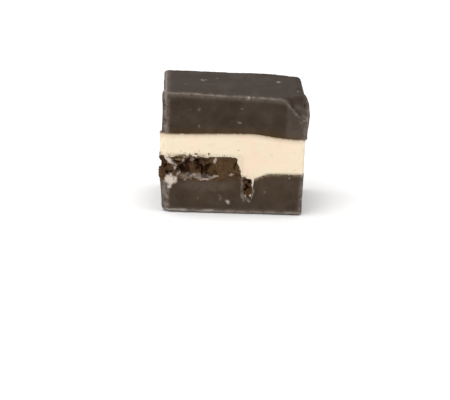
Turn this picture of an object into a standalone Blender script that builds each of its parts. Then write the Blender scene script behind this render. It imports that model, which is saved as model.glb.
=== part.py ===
"""Cookies and cream fudge: one knife-cut piece of three layers with broken cookie along its seam.

A slab of dark chocolate fudge (the base), a slab of vanilla cream fudge and a second dark slab (the lid)
are poured on each other and cut into pieces. Broken chocolate cookie lies in the cream on top of the
base, and the knife has cut through it, so that it shows as rough, pitted patches in the sides.

The origin is the centre of the footprint. +X is right, -Y is the front face and +Z is up.
"""

from collections.abc import Callable
from dataclasses import dataclass
from math import copysign, pi, sin, sqrt

import bmesh
import bpy
from mathutils import Vector, noise

MM = 0.001  # metres in a millimetre

# The whole piece
HALF_WIDTH = 14.85 * MM  # from the centre to the left and right faces at the top
HALF_DEPTH = 14.85 * MM  # from the centre to the front and back faces at the top
HEIGHT = 24.75 * MM  # the top at its middle
TOP_SLOPE = 0.45 * MM  # how far the top rises at the left end and drops at the right end, at the front
TOP_SLOPE_BACK = 0.25 * MM  # the same at the back
TOP_WAVE = 0.12 * MM
BACK_CORNER_DROP = 0.35 * MM  # how far the top droops at its back right corner
BACK_CORNER_REACH = 9.0 * MM
GAP = 0.3 * MM  # clearance between pieces that touch in the real fudge

# Where the foot of each corner stands, outwards from its head: (sideways, front to back)
FRONT_LEFT_FOOT = (0.10 * MM, -0.30 * MM)
FRONT_RIGHT_FOOT = (-0.85 * MM, -0.10 * MM)
BACK_LEFT_FOOT = (0.30 * MM, -0.40 * MM)
BACK_RIGHT_FOOT = (-0.40 * MM, -0.55 * MM)

# Seams between the layers
LID_SEAM = 16.55 * MM  # underside of the lid at the left
LID_SEAM_RISE = 0.35 * MM  # how far that seam rises from there to the middle
LID_SEAM_DROP = 0.95 * MM  # how far it then sinks towards the right face
BASE_SEAM = 7.7 * MM  # top of the base at the left
BASE_SEAM_RISE = 0.95 * MM  # how much thicker the base is at the right face
SEAM_WAVE = 0.35 * MM  # unevenness of both seams behind the front face

# Edges
POST_ROUND = 0.7 * MM  # radius of the upright edges
WORN_POST_EXTRA = 0.4 * MM  # further radius at the head of the worn front left one
WORN_POST_SPREAD = 1.0 * MM  # how much that radius grows down to its foot
TOP_ROUND = 0.75 * MM  # radius of the lid's upper edges
FOOT_ROUND = 0.75 * MM  # radius of the base's lower edges
FOOT_ROUND_EXTRA = 0.6 * MM  # further radius at the worn front left corner
FOOT_ROUND_REACH = 5.0 * MM  # how far that wear spreads along the edges

# The corner that has broken off the lid, measured along its three edges
CHIP_ALONG_FRONT = 4.7 * MM
CHIP_ALONG_SIDE = 4.4 * MM
CHIP_DOWN = 4.5 * MM
CHIP_HOLLOW = 0.5 * MM  # how far its middle is scooped out
CHIP_BLEND = 0.9 * MM  # how softly the broken face meets the top

# The cut sides, where they aren't flat
LEFT_BULGE = 0.75 * MM  # how far the cream and the base squeeze out past the lid at the front left corner
LEFT_BULGE_Z = 9.5 * MM  # the height from which they do so in full
LEFT_BULGE_BACK = (-13.0 * MM, -8.5 * MM)  # it fades between these places, front to back
LEFT_FLARE = 0.20 * MM  # how far the lid's left face flares out towards its top
RIGHT_LEAN = 1.10 * MM  # how far its right face leans in towards its top, behind the broken corner
RIGHT_LEAN_START = (-12.5 * MM, -4.0 * MM)  # it grows between these places, front to back
SIDE_TURN_Z = 19.5 * MM  # both start at this height
RIGHT_BULGE = 0.30 * MM  # how far the right face stands out beside the broken corner
RIGHT_BULGE_MIDDLE = (-12.0 * MM, 21.0 * MM)
RIGHT_BULGE_REACH = (5.0 * MM, 3.0 * MM)

# A smear of the base that the knife drew up at the end of the front cookie
SMEAR_CENTRE = (-1.3 * MM, -13.5 * MM)
SMEAR_SPREAD = (3.0 * MM, 5.0 * MM)
SMEAR_RISE = 1.2 * MM

# The split between the two halves of the base
SPLIT_CENTRE = (2.6 * MM, -14.8 * MM)
SPLIT_SPREAD = (1.8 * MM, 3.2 * MM)
SPLIT_SINK = 1.2 * MM
SHOULDER_SINK = 0.9 * MM  # how far the base's right half rounds off towards the split
SHOULDER_REACH = 4.6 * MM

# Relief of the knife-cut sides
CUT_WAVE = 0.16 * MM  # broad unevenness
CUT_WAVE_LENGTH = 7.0 * MM
CUT_GRAIN = 0.06 * MM  # finer unevenness
CUT_GRAIN_LENGTH = 2.2 * MM
CRUMBLE = 0.35 * MM  # how deep the sides have crumbled beside the broken corner
CRUMBLE_LENGTH = 2.0 * MM
CRUMBLE_REACH = 6.0 * MM

# Broken cookie
PIT_DEPTH = 1.0 * MM  # how deep crumbs have been torn out of a cut cookie
PIT_LENGTH = 1.5 * MM
CRUMB_DEPTH = 0.16 * MM  # roughness between the pits
CRUMB_LENGTH = 0.8 * MM
RIM = 1.1 * MM  # the pits are full depth this far in from a cookie's outline
RAGGED = 0.45 * MM  # how far a broken edge strays from its outline
RAGGED_LENGTH = 2.4 * MM
POCKET_OPENING = 1.5 * MM  # how far a pocket's cutter stands out of the side that it opens

LAYER_CELLS = (20, 16)  # faces across and front to back
CROWDING = 0.5  # how strongly those faces crowd together, from 0 to 1
ROW_CROWDING = 1.8  # how strongly a layer's rows crowd towards its rounded edge, from 1

DARK_FUDGE = ("Dark chocolate fudge", (0.058, 0.040, 0.031), 0.55)
CREAM_FUDGE = ("Vanilla cream fudge", (0.905, 0.752, 0.545), 0.60)
COOKIE_CRUMB = ("Chocolate cookie", (0.036, 0.017, 0.009), 0.90)


@dataclass(frozen=True)
class Swell:
    """How far each side of a layer stands out from the cut of the whole piece."""

    left: float = 0.0
    right: float = 0.0
    front: float = 0.0
    back: float = 0.0
    squeezed: float = 0.0  # its share of the bulge at the front left corner


LID_SWELL = Swell(left=0.10 * MM, back=0.05 * MM, squeezed=0.45)
CREAM_SWELL = Swell(left=0.13 * MM, right=-0.30 * MM, front=0.05 * MM, squeezed=1.0)
BASE_SWELL = Swell(right=-0.20 * MM, back=0.10 * MM, squeezed=1.0)


@dataclass(frozen=True)
class Cookie:
    """A broken cookie in the cream, which shows at the sides where the knife has cut it."""

    name: str
    cuts: tuple[str, ...]
    middle: tuple[float, float]  # in plan, and unused on an axis along which it is cut
    reach: tuple[float, float]  # in plan, each way from its middle, or inwards from the cut
    top: float
    sink: float  # how far it lies in the base
    cells: tuple[int, int, int]
    seed: float
    lean: float = 0.0  # how much further its right end reaches at its foot than halfway up
    round: float = 0.5  # how rounded its buried corners are, as a share of its size


CUT_SIDES = {"left": (0, -1), "right": (0, 1), "front": (1, -1), "back": (1, 1)}  # axis and direction

COOKIES = (
    Cookie(
        "cookie_front", cuts=("front", "left"), middle=(0, 0), reach=(16.1 * MM, 6.2 * MM),
        top=11.9 * MM, sink=0.7 * MM, cells=(22, 9, 7), seed=3.1, lean=0.65 * MM, round=0.20,
    ),
    Cookie(
        "cookie_split", cuts=("front",), middle=(2.6 * MM, 0), reach=(1.1 * MM, 2.4 * MM),
        top=7.4 * MM, sink=3.9 * MM, cells=(5, 5, 9), seed=7.7,
    ),
    Cookie(
        "cookie_right", cuts=("right",), middle=(0, 5.5 * MM), reach=(3.6 * MM, 4.4 * MM),
        top=11.6 * MM, sink=0.8 * MM, cells=(5, 12, 6), seed=5.2,
    ),
    Cookie(
        "cookie_back", cuts=("back",), middle=(-3.5 * MM, 0), reach=(6.6 * MM, 4.0 * MM),
        top=10.6 * MM, sink=0.6 * MM, cells=(18, 5, 6), seed=9.4,
    ),
)


def blend(start: float, end: float, value: float) -> float:
    """Rises smoothly from 0 where value is start to 1 where it is end."""
    share = min(1.0, max(0.0, (value - start) / (end - start)))
    return share * share * (3 - 2 * share)


def hump(x: float, y: float, centre: tuple[float, float], spread: tuple[float, float]) -> float:
    """A smooth hill of height 1 that fades out over its spread in x and in y."""
    across = (x - centre[0]) / spread[0]
    along = (y - centre[1]) / spread[1]
    return blend(1, 0, sqrt(across * across + along * along))


def wave(point: Vector, length: float, seed: float) -> float:
    """Smooth noise between about -1 and 1 whose lumps are about length across."""
    return noise.noise(point / length + Vector((seed, -seed, 2 * seed)))


def rounded(point: Vector, radius: float) -> Vector:
    """Rounds the corners of a square or cube from -1 to 1, by a radius that is a share of its half side."""
    core = 1 - radius
    over = [max(0.0, abs(part) - core) for part in point]
    reach = sqrt(sum(part * part for part in over))
    if reach == 0:
        return point
    shrink = max(over) / reach
    return Vector([
        copysign(min(abs(part), core) + extra * shrink, part)
        for part, extra in zip(point, over)
    ])


def edge_inset(distance: float, radius: float) -> float:
    """How far a rounded edge stands back from the side, at a distance from the face that it meets."""
    if distance >= radius:
        return 0.0
    return radius - sqrt(radius * radius - (radius - distance) ** 2)


def top_height(x: float, y: float) -> float:
    """Height of the lid's top, with the broken corner at the front right."""
    slope = TOP_SLOPE + (TOP_SLOPE_BACK - TOP_SLOPE) * (y / HALF_DEPTH + 1) / 2
    flat = HEIGHT - slope * x / HALF_WIDTH + TOP_WAVE * wave(Vector((x, y, 0)), 9 * MM, 4.3)
    flat -= BACK_CORNER_DROP * hump(x, y, (HALF_WIDTH, HALF_DEPTH), (BACK_CORNER_REACH, BACK_CORNER_REACH))
    past_front = (x - HALF_WIDTH + CHIP_ALONG_FRONT) / CHIP_ALONG_FRONT
    past_side = (-y - HALF_DEPTH + CHIP_ALONG_SIDE) / CHIP_ALONG_SIDE
    past = past_front + past_side - 1
    broken = HEIGHT - TOP_SLOPE - CHIP_DOWN * past - 4 * CHIP_HOLLOW * max(0.0, past * (1 - past))
    apart = abs(broken - flat) / CHIP_BLEND
    return min(flat, broken) - CHIP_BLEND * max(0.0, 1 - apart) ** 2 / 4


def lid_seam(x: float, y: float) -> float:
    """Height of the seam between the cream and the lid."""
    level = LID_SEAM + LID_SEAM_RISE * blend(-13 * MM, 3 * MM, x) - LID_SEAM_DROP * blend(2 * MM, 12 * MM, x)
    behind = blend(-HALF_DEPTH, -9 * MM, y)
    return level + SEAM_WAVE * behind * wave(Vector((x, y, 0)), 8 * MM, 1.7)


def base_seam(x: float, y: float) -> float:
    """Height of the seam between the base and the cream."""
    level = BASE_SEAM + BASE_SEAM_RISE * blend(0, 7 * MM, x)
    level += SMEAR_RISE * hump(x, y, SMEAR_CENTRE, SMEAR_SPREAD)
    level -= SPLIT_SINK * hump(x, y, SPLIT_CENTRE, SPLIT_SPREAD)
    if x > SPLIT_CENTRE[0]:
        level -= SHOULDER_SINK * hump(x, y, SPLIT_CENTRE, (SHOULDER_REACH, SHOULDER_REACH))
    behind = blend(-HALF_DEPTH, -10 * MM, y)
    return level + SEAM_WAVE * behind * wave(Vector((x, y, 0)), 6 * MM, 8.1)


def corners(feet: tuple[tuple[float, float], ...]) -> list[Vector]:
    """The four corners in plan, from how far each stands out from the head of its upright edge."""
    signs = ((-1, -1), (1, -1), (-1, 1), (1, 1))
    return [
        Vector((right * (HALF_WIDTH + foot[0]), back * (HALF_DEPTH + foot[1])))
        for (right, back), foot in zip(signs, feet)
    ]


FEET = corners((FRONT_LEFT_FOOT, FRONT_RIGHT_FOOT, BACK_LEFT_FOOT, BACK_RIGHT_FOOT))
HEADS = corners(((0.0, 0.0),) * 4)


def outline(place: Vector, z: float) -> Vector:
    """Where a point of the square from -1 to 1 lies in plan, at the height z."""
    posts = [foot.lerp(head, z / HEIGHT) for foot, head in zip(FEET, HEADS)]
    front = posts[0].lerp(posts[1], (place.x + 1) / 2)
    back = posts[2].lerp(posts[3], (place.x + 1) / 2)
    return front.lerp(back, (place.y + 1) / 2)


def post_radius(place: Vector, z: float) -> float:
    """Radius of the upright edge nearest to a place in plan, as a share of the piece's half width."""
    if place.x > 0 or place.y > 0:
        return POST_ROUND / HALF_WIDTH
    return (POST_ROUND + WORN_POST_EXTRA + WORN_POST_SPREAD * (1 - z / HEIGHT)) / HALF_WIDTH


def side_relief(point: Vector) -> float:
    """How far the knife-cut side stands out at a point, and less than 0 where it is hollow."""
    relief = CUT_WAVE * wave(point, CUT_WAVE_LENGTH, 2.9) + CUT_GRAIN * wave(point, CUT_GRAIN_LENGTH, 6.2)
    broken_end = Vector((HALF_WIDTH, -HALF_DEPTH, HEIGHT - CHIP_DOWN))
    crumbled = blend(CRUMBLE_REACH, 0, (point - broken_end).length)
    return relief - CRUMBLE * crumbled * wave(point, CRUMBLE_LENGTH, 11.3)


def squeezed_out(point: Vector) -> float:
    """How far the cream and the base stand out of the left face at a point."""
    return LEFT_BULGE * blend(0, LEFT_BULGE_Z, point.z) * blend(*reversed(LEFT_BULGE_BACK), point.y)


def turned_out(point: Vector) -> float:
    """How far the left or right face stands out at a point of the lid, and less than 0 where it leans in."""
    high = blend(SIDE_TURN_Z, HEIGHT, point.z)
    if point.x < 0:
        return LEFT_FLARE * high
    bulge = RIGHT_BULGE * hump(point.y, point.z, RIGHT_BULGE_MIDDLE, RIGHT_BULGE_REACH)
    return bulge - RIGHT_LEAN * high * blend(*RIGHT_LEAN_START, point.y)


def piece_point(place: Vector, z: float, inset: float, swell: Swell) -> Vector:
    """A point of the piece's side, or of its inside.

    Args:
        place: the place in plan, from -1 to 1 each way, where 1 is on the side.
        z: the height.
        inset: how far the side stands back there, as on a rounded edge.
        swell: how far the layer's own sides stand out.
    Returns:
        The point, in metres.
    """
    place = rounded(place, post_radius(place, z))
    plan = outline(place, z)
    point = Vector((*plan, z))
    out = side_relief(point) - inset
    swollen = swell.left + swell.squeezed * squeezed_out(point) if place.x < 0 else swell.right
    out_x = out + turned_out(point) + swollen
    out_y = out + (swell.front if place.y < 0 else swell.back)
    return Vector((plan.x + place.x**3 * out_x, plan.y + place.y**3 * out_y, z))


def gridded_cube(cells: tuple[int, int, int]) -> bmesh.types.BMesh:
    """A cube from -1 to 1 whose edges along x, y and z are cut into that many cells."""
    grid = bmesh.new()
    bmesh.ops.create_cube(grid, size=2.0)
    for axis, count in enumerate(cells):
        along = [edge for edge in grid.edges if abs(edge.verts[0].co[axis] - edge.verts[1].co[axis]) > 1]
        bmesh.ops.subdivide_edges(grid, edges=along, cuts=count - 1, use_grid_fill=True)
    return grid


def shaped(name: str, cells: tuple[int, int, int], place: Callable[[Vector], Vector]) -> bpy.types.Object:
    """A new mesh object, made from a gridded cube whose points a function puts in their places."""
    grid = gridded_cube(cells)
    for vertex in grid.verts:
        vertex.co = place(vertex.co.copy())
    bmesh.ops.recalc_face_normals(grid, faces=grid.faces)
    mesh = bpy.data.meshes.new(name)
    grid.to_mesh(mesh)
    grid.free()
    return bpy.data.objects.new(name, mesh)


def layer_place(corner: Vector) -> Vector:
    """Where a point of a layer's grid lies in plan, from -1 to 1.

    The faces crowd together along all four sides and, from left to right, at the split in the base.
    """
    across = corner.x - CROWDING * sin(2 * pi * corner.x) / (2 * pi)
    along = (1 - CROWDING) * corner.y + CROWDING * sin(corner.y * pi / 2)
    return Vector((across, along))


def lid() -> bpy.types.Object:
    """The upper slab of dark fudge, down to the cream."""

    def place(corner: Vector) -> Vector:
        spot = layer_place(corner)
        top = top_height(*outline(spot, HEIGHT))
        bottom = lid_seam(*outline(spot, LID_SEAM)) + GAP / 2
        down = (top - bottom) * ((1 - corner.z) / 2) ** ROW_CROWDING
        return piece_point(spot, top - down, edge_inset(down, TOP_ROUND), LID_SWELL)

    return shaped("lid", (*LAYER_CELLS, 6), place)


def cream() -> bpy.types.Object:
    """The slab of vanilla fudge between the two dark ones."""

    def place(corner: Vector) -> Vector:
        spot = layer_place(corner)
        top = lid_seam(*outline(spot, LID_SEAM)) - GAP / 2
        bottom = base_seam(*outline(spot, BASE_SEAM)) + GAP / 2
        return piece_point(spot, bottom + (top - bottom) * (corner.z + 1) / 2, 0, CREAM_SWELL)

    return shaped("cream", (*LAYER_CELLS, 4), place)


def base() -> bpy.types.Object:
    """The lower slab of dark fudge, which the piece stands on."""

    def place(corner: Vector) -> Vector:
        spot = layer_place(corner)
        top = base_seam(*outline(spot, BASE_SEAM)) - GAP / 2
        up = top * ((corner.z + 1) / 2) ** ROW_CROWDING
        worn = hump(*outline(spot, 0), (-HALF_WIDTH, -HALF_DEPTH), (FOOT_ROUND_REACH, FOOT_ROUND_REACH))
        return piece_point(spot, up, edge_inset(up, FOOT_ROUND + FOOT_ROUND_EXTRA * worn), BASE_SWELL)

    return shaped("base", (*LAYER_CELLS, 5), place)


def side_at(axis: int, sign: int, point: Vector) -> float:
    """Where the cream's side on one axis lies, level with a point."""
    place = Vector((point.x / HALF_WIDTH, point.y / HALF_DEPTH))
    place[axis] = sign
    return piece_point(place, point.z, 0, CREAM_SWELL)[axis]


def torn_depth(point: Vector, from_rim: float, seed: float) -> float:
    """How deep crumbs have been torn out of a cookie's cut face at a point."""
    pit = blend(0, 0.5, wave(point, PIT_LENGTH, seed)) * blend(0, RIM, from_rim)
    return PIT_DEPTH * pit + CRUMB_DEPTH * (1 + wave(point, CRUMB_LENGTH, seed))


def cookie_point(cookie: Cookie, corner: Vector, clearance: float) -> Vector:
    """Where a point of a cookie's grid lies.

    Args:
        cookie: the cookie.
        corner: the point of the cube from -1 to 1.
        clearance: 0 for the cookie itself, or the gap round it for the cutter of its pocket.
    Returns:
        The point, in metres.
    """
    cuts = dict(CUT_SIDES[side] for side in cookie.cuts)
    share = corner.copy()
    for axis, sign in cuts.items():
        share[axis] = (corner[axis] - sign) / 2
    share = rounded(share, cookie.round)

    halves = (HALF_WIDTH, HALF_DEPTH)
    point = Vector((0, 0, 0))
    for axis, half in enumerate(halves):
        middle = cuts[axis] * half if axis in cuts else cookie.middle[axis]
        point[axis] = middle + share[axis] * cookie.reach[axis]
    floor = base_seam(point.x, point.y) - cookie.sink
    reach = (*cookie.reach, (cookie.top - floor) / 2)
    point.z = floor + (share.z + 1) * reach[2]
    point.x -= cookie.lean * share.z * max(0.0, share.x)

    def from_rim(axis: int) -> float:
        """How far inside the outline of the cut face on this axis the point lies."""
        others = [other for other in range(3) if other != axis]
        return min(
            reach[other] * (abs(share[other]) if other in cuts else 1 - abs(share[other]))
            for other in others
        )

    made = point.copy()
    for axis in range(3):
        if axis not in cuts:
            made[axis] += share[axis] * clearance + RAGGED * wave(point, RAGGED_LENGTH, cookie.seed + axis)
            continue
        side = side_at(axis, cuts[axis], point)
        if share[axis]:
            inwards = point[axis] - cuts[axis] * halves[axis]
            made[axis] = side + inwards + share[axis] * clearance
        elif clearance:
            made[axis] = side + cuts[axis] * POCKET_OPENING
        else:
            made[axis] = side - cuts[axis] * torn_depth(point, from_rim(axis), cookie.seed)
    return made


def cookie_piece(cookie: Cookie) -> bpy.types.Object:
    """The broken cookie itself."""
    return shaped(cookie.name, cookie.cells, lambda corner: cookie_point(cookie, corner, 0.0))


def cookie_pocket(cookie: Cookie) -> bpy.types.Object:
    """The cutter of the pocket that the cookie lies in."""
    return shaped(cookie.name + "_pocket", cookie.cells, lambda corner: cookie_point(cookie, corner, GAP))


def material(finish: tuple[str, tuple[float, float, float], float]) -> bpy.types.Material:
    """The Principled material of a finish: its name, base colour and roughness."""
    name, colour, roughness = finish
    made = bpy.data.materials.new(name)
    made.use_nodes = True
    shader = made.node_tree.nodes["Principled BSDF"]
    shader.inputs["Base Color"].default_value = (*colour, 1.0)
    shader.inputs["Roughness"].default_value = roughness
    shader.inputs["Metallic"].default_value = 0.0
    return made


def new_collection(name: str) -> bpy.types.Collection:
    """A new collection in the scene."""
    made = bpy.data.collections.new(name)
    bpy.context.scene.collection.children.link(made)
    return made


def main() -> None:
    """Builds the piece."""
    for stale in list(bpy.data.objects):
        bpy.data.objects.remove(stale)
    piece = new_collection("Cookies and cream fudge")
    pockets = new_collection("Cookie pockets")
    dark, vanilla, crumb = (material(finish) for finish in (DARK_FUDGE, CREAM_FUDGE, COOKIE_CRUMB))

    for cookie in COOKIES:
        part = cookie_piece(cookie)
        part.data.materials.append(crumb)
        piece.objects.link(part)
        cutter = cookie_pocket(cookie)
        cutter.hide_render = True
        cutter.display_type = "WIRE"
        pockets.objects.link(cutter)

    for layer, finish in ((lid(), dark), (cream(), vanilla), (base(), dark)):
        layer.data.materials.append(finish)
        piece.objects.link(layer)
        if layer.name != "lid":
            cut = layer.modifiers.new("Cookie pockets", "BOOLEAN")
            cut.operand_type = "COLLECTION"
            cut.collection = pockets
            cut.operation = "DIFFERENCE"
            cut.solver = "EXACT"


main()
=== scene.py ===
"""Cookies and cream fudge: one knife-cut piece, with its finishes, floor, light and camera.

Each layer of fudge and each cut cookie is a class. Its sizes are fields, in metres, and its methods build the
mesh and dress it. The shapes are the CAD's own, cut finer and with the relief that the CAD leaves out.
"""

import logging
import random
from abc import ABC, abstractmethod
from collections.abc import Callable, Iterable
from dataclasses import dataclass
from enum import Enum
from functools import cached_property
from math import atan, copysign, cos, pi, radians, sin, sqrt

import bmesh
import bpy
from mathutils import Euler, Matrix, Vector, noise


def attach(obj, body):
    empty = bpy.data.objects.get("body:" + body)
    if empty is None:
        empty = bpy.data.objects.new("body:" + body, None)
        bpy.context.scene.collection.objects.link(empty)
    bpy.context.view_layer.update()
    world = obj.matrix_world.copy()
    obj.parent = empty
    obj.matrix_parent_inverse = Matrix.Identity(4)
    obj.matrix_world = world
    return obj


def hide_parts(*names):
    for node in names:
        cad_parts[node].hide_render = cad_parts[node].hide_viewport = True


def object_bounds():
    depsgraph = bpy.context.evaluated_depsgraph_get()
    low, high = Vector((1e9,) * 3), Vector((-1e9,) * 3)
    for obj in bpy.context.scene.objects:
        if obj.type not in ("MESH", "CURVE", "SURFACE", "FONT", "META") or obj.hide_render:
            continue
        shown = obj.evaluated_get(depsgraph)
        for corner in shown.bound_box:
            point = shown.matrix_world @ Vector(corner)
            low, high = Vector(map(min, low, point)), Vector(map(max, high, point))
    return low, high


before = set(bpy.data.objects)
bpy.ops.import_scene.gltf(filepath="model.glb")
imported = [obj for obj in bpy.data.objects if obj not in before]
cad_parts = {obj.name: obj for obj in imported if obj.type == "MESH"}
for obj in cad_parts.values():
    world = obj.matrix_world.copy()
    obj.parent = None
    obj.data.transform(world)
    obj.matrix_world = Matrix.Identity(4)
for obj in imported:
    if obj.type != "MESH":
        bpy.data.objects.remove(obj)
CAD_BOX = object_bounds()
LOG = logging.getLogger("fudge")

MM = 0.001  # metres in a millimetre
ROOT = "root"  # the one body of the piece

# Packed grains, in shares of a grain's length
GRAIN_CURVE = 2.2  # how steeply a grain falls off from its crown
GROOVE_WIDTH = 0.25
GROOVE_DEPTH = 1.5

Colour = tuple[float, float, float]
Placer = Callable[[Vector], Vector]


class Side(Enum):
    """A knife-cut side: the axis across it, and which way it faces along that axis."""

    LEFT = (0, -1)
    RIGHT = (0, 1)
    FRONT = (1, -1)
    BACK = (1, 1)

    @property
    def axis(self) -> int:
        """0 for a side across x and 1 for a side across y."""
        return self.value[0]

    @property
    def sign(self) -> int:
        """1 if the side faces along its axis, and -1 if it faces back along it."""
        return self.value[1]

    @property
    def outwards(self) -> Vector:
        """The way out of the piece."""
        return Vector((0, self.sign, 0) if self.axis else (self.sign, 0, 0))


class Slot(Enum):
    """The record's material slots."""

    DARK = "dark_fudge"
    CREAM = "cream_fudge"
    COOKIE = "cookie"


# ---------------------------------------------------------------------------------------------------------
# Small measures


def blend(start: float, end: float, value: float) -> float:
    """Rises smoothly from 0 to 1 as the value goes from the start to the end, which may be the lower one."""
    share = min(1.0, max(0.0, (value - start) / (end - start)))
    return share * share * (3 - 2 * share)


def hump(x: float, y: float, centre: tuple[float, float], spread: tuple[float, float]) -> float:
    """A smooth hill of height 1.

    Args:
        x: the place along x.
        y: the place along y.
        centre: where its top is.
        spread: how far it takes to fade out, in x and in y.
    Returns:
        Its height there, from 0 to 1.
    """
    across = (x - centre[0]) / spread[0]
    along = (y - centre[1]) / spread[1]
    return blend(1, 0, sqrt(across * across + along * along))


def wave(point: Vector, length: float, seed: float) -> float:
    """Smooth noise between about -1 and 1, whose lumps are about length across."""
    return noise.noise(point / length + Vector((seed, -seed, 2 * seed)))


def grains(point: Vector, length: float, seed: float) -> float:
    """Packed round grains.

    Args:
        point: the point.
        length: about how wide a grain is.
        seed: shifts the grains.
    Returns:
        1 on the crown of a grain, and 0 or less between two.
    """
    nearest, second = noise.voronoi(point / length + Vector((seed, seed, -seed)))[0][:2]
    groove = max(0.0, GROOVE_WIDTH - (second - nearest))
    return 1 - GRAIN_CURVE * nearest * nearest - GROOVE_DEPTH * groove


@dataclass(frozen=True)
class Fade:
    """A smooth rise from 0 at the start to the top at the end, which may be the lower one."""

    start: float
    end: float
    top: float = 1.0

    def at(self, value: float) -> float:
        """How high it has risen at a value."""
        return self.top * blend(self.start, self.end, value)


@dataclass(frozen=True)
class Relief:
    """Smooth lumps: how far they stand out, how wide they are, and a seed that shifts them."""

    depth: float
    length: float
    seed: float

    def at(self, point: Vector) -> float:
        """How far they stand out at a point."""
        return self.depth * wave(point, self.length, self.seed)

    def grained(self, point: Vector) -> float:
        """How far packed grains of that size stand out at a point."""
        return self.depth * grains(point, self.length, self.seed)


@dataclass(frozen=True)
class Streaks:
    """Upright streaks: how far they stand out, how wide and how high they are, and a seed."""

    depth: float
    across: float
    along: float
    seed: float

    def at(self, point: Vector) -> float:
        """How far they stand out at a point."""
        drawn = Vector((point.x / self.across, point.y / self.across, point.z / self.along))
        return self.depth * noise.noise(drawn + Vector((self.seed, 2 * self.seed, -self.seed)))


def rounded(point: Vector, radius: float) -> Vector:
    """Rounds the corners of a square or cube from -1 to 1.

    Args:
        point: a point of the square or cube.
        radius: the corners' radius, as a share of its half side.
    Returns:
        The point, moved inwards if it is at a corner.
    """
    core = 1 - radius
    over = [max(0.0, abs(part) - core) for part in point]
    reach = sqrt(sum(part * part for part in over))
    if reach == 0:
        return point
    shrink = max(over) / reach
    return Vector([
        copysign(min(abs(part), core) + extra * shrink, part)
        for part, extra in zip(point, over)
    ])


def edge_inset(distance: float, radius: float) -> float:
    """How far a rounded edge stands back from the side.

    Args:
        distance: the distance from the face that the side meets at that edge.
        radius: the edge's radius.
    Returns:
        The inset, in metres.
    """
    if distance >= radius:
        return 0.0
    return radius - sqrt(max(0.0, radius * radius - (radius - distance) ** 2))


# ---------------------------------------------------------------------------------------------------------
# The cut of the whole piece


@dataclass(frozen=True)
class Swell:
    """How far each side of a layer stands out from the cut of the whole piece."""

    left: float = 0.0
    right: float = 0.0
    front: float = 0.0
    back: float = 0.0
    squeezed: float = 0.0  # its share of the bulge at the front left corner


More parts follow.
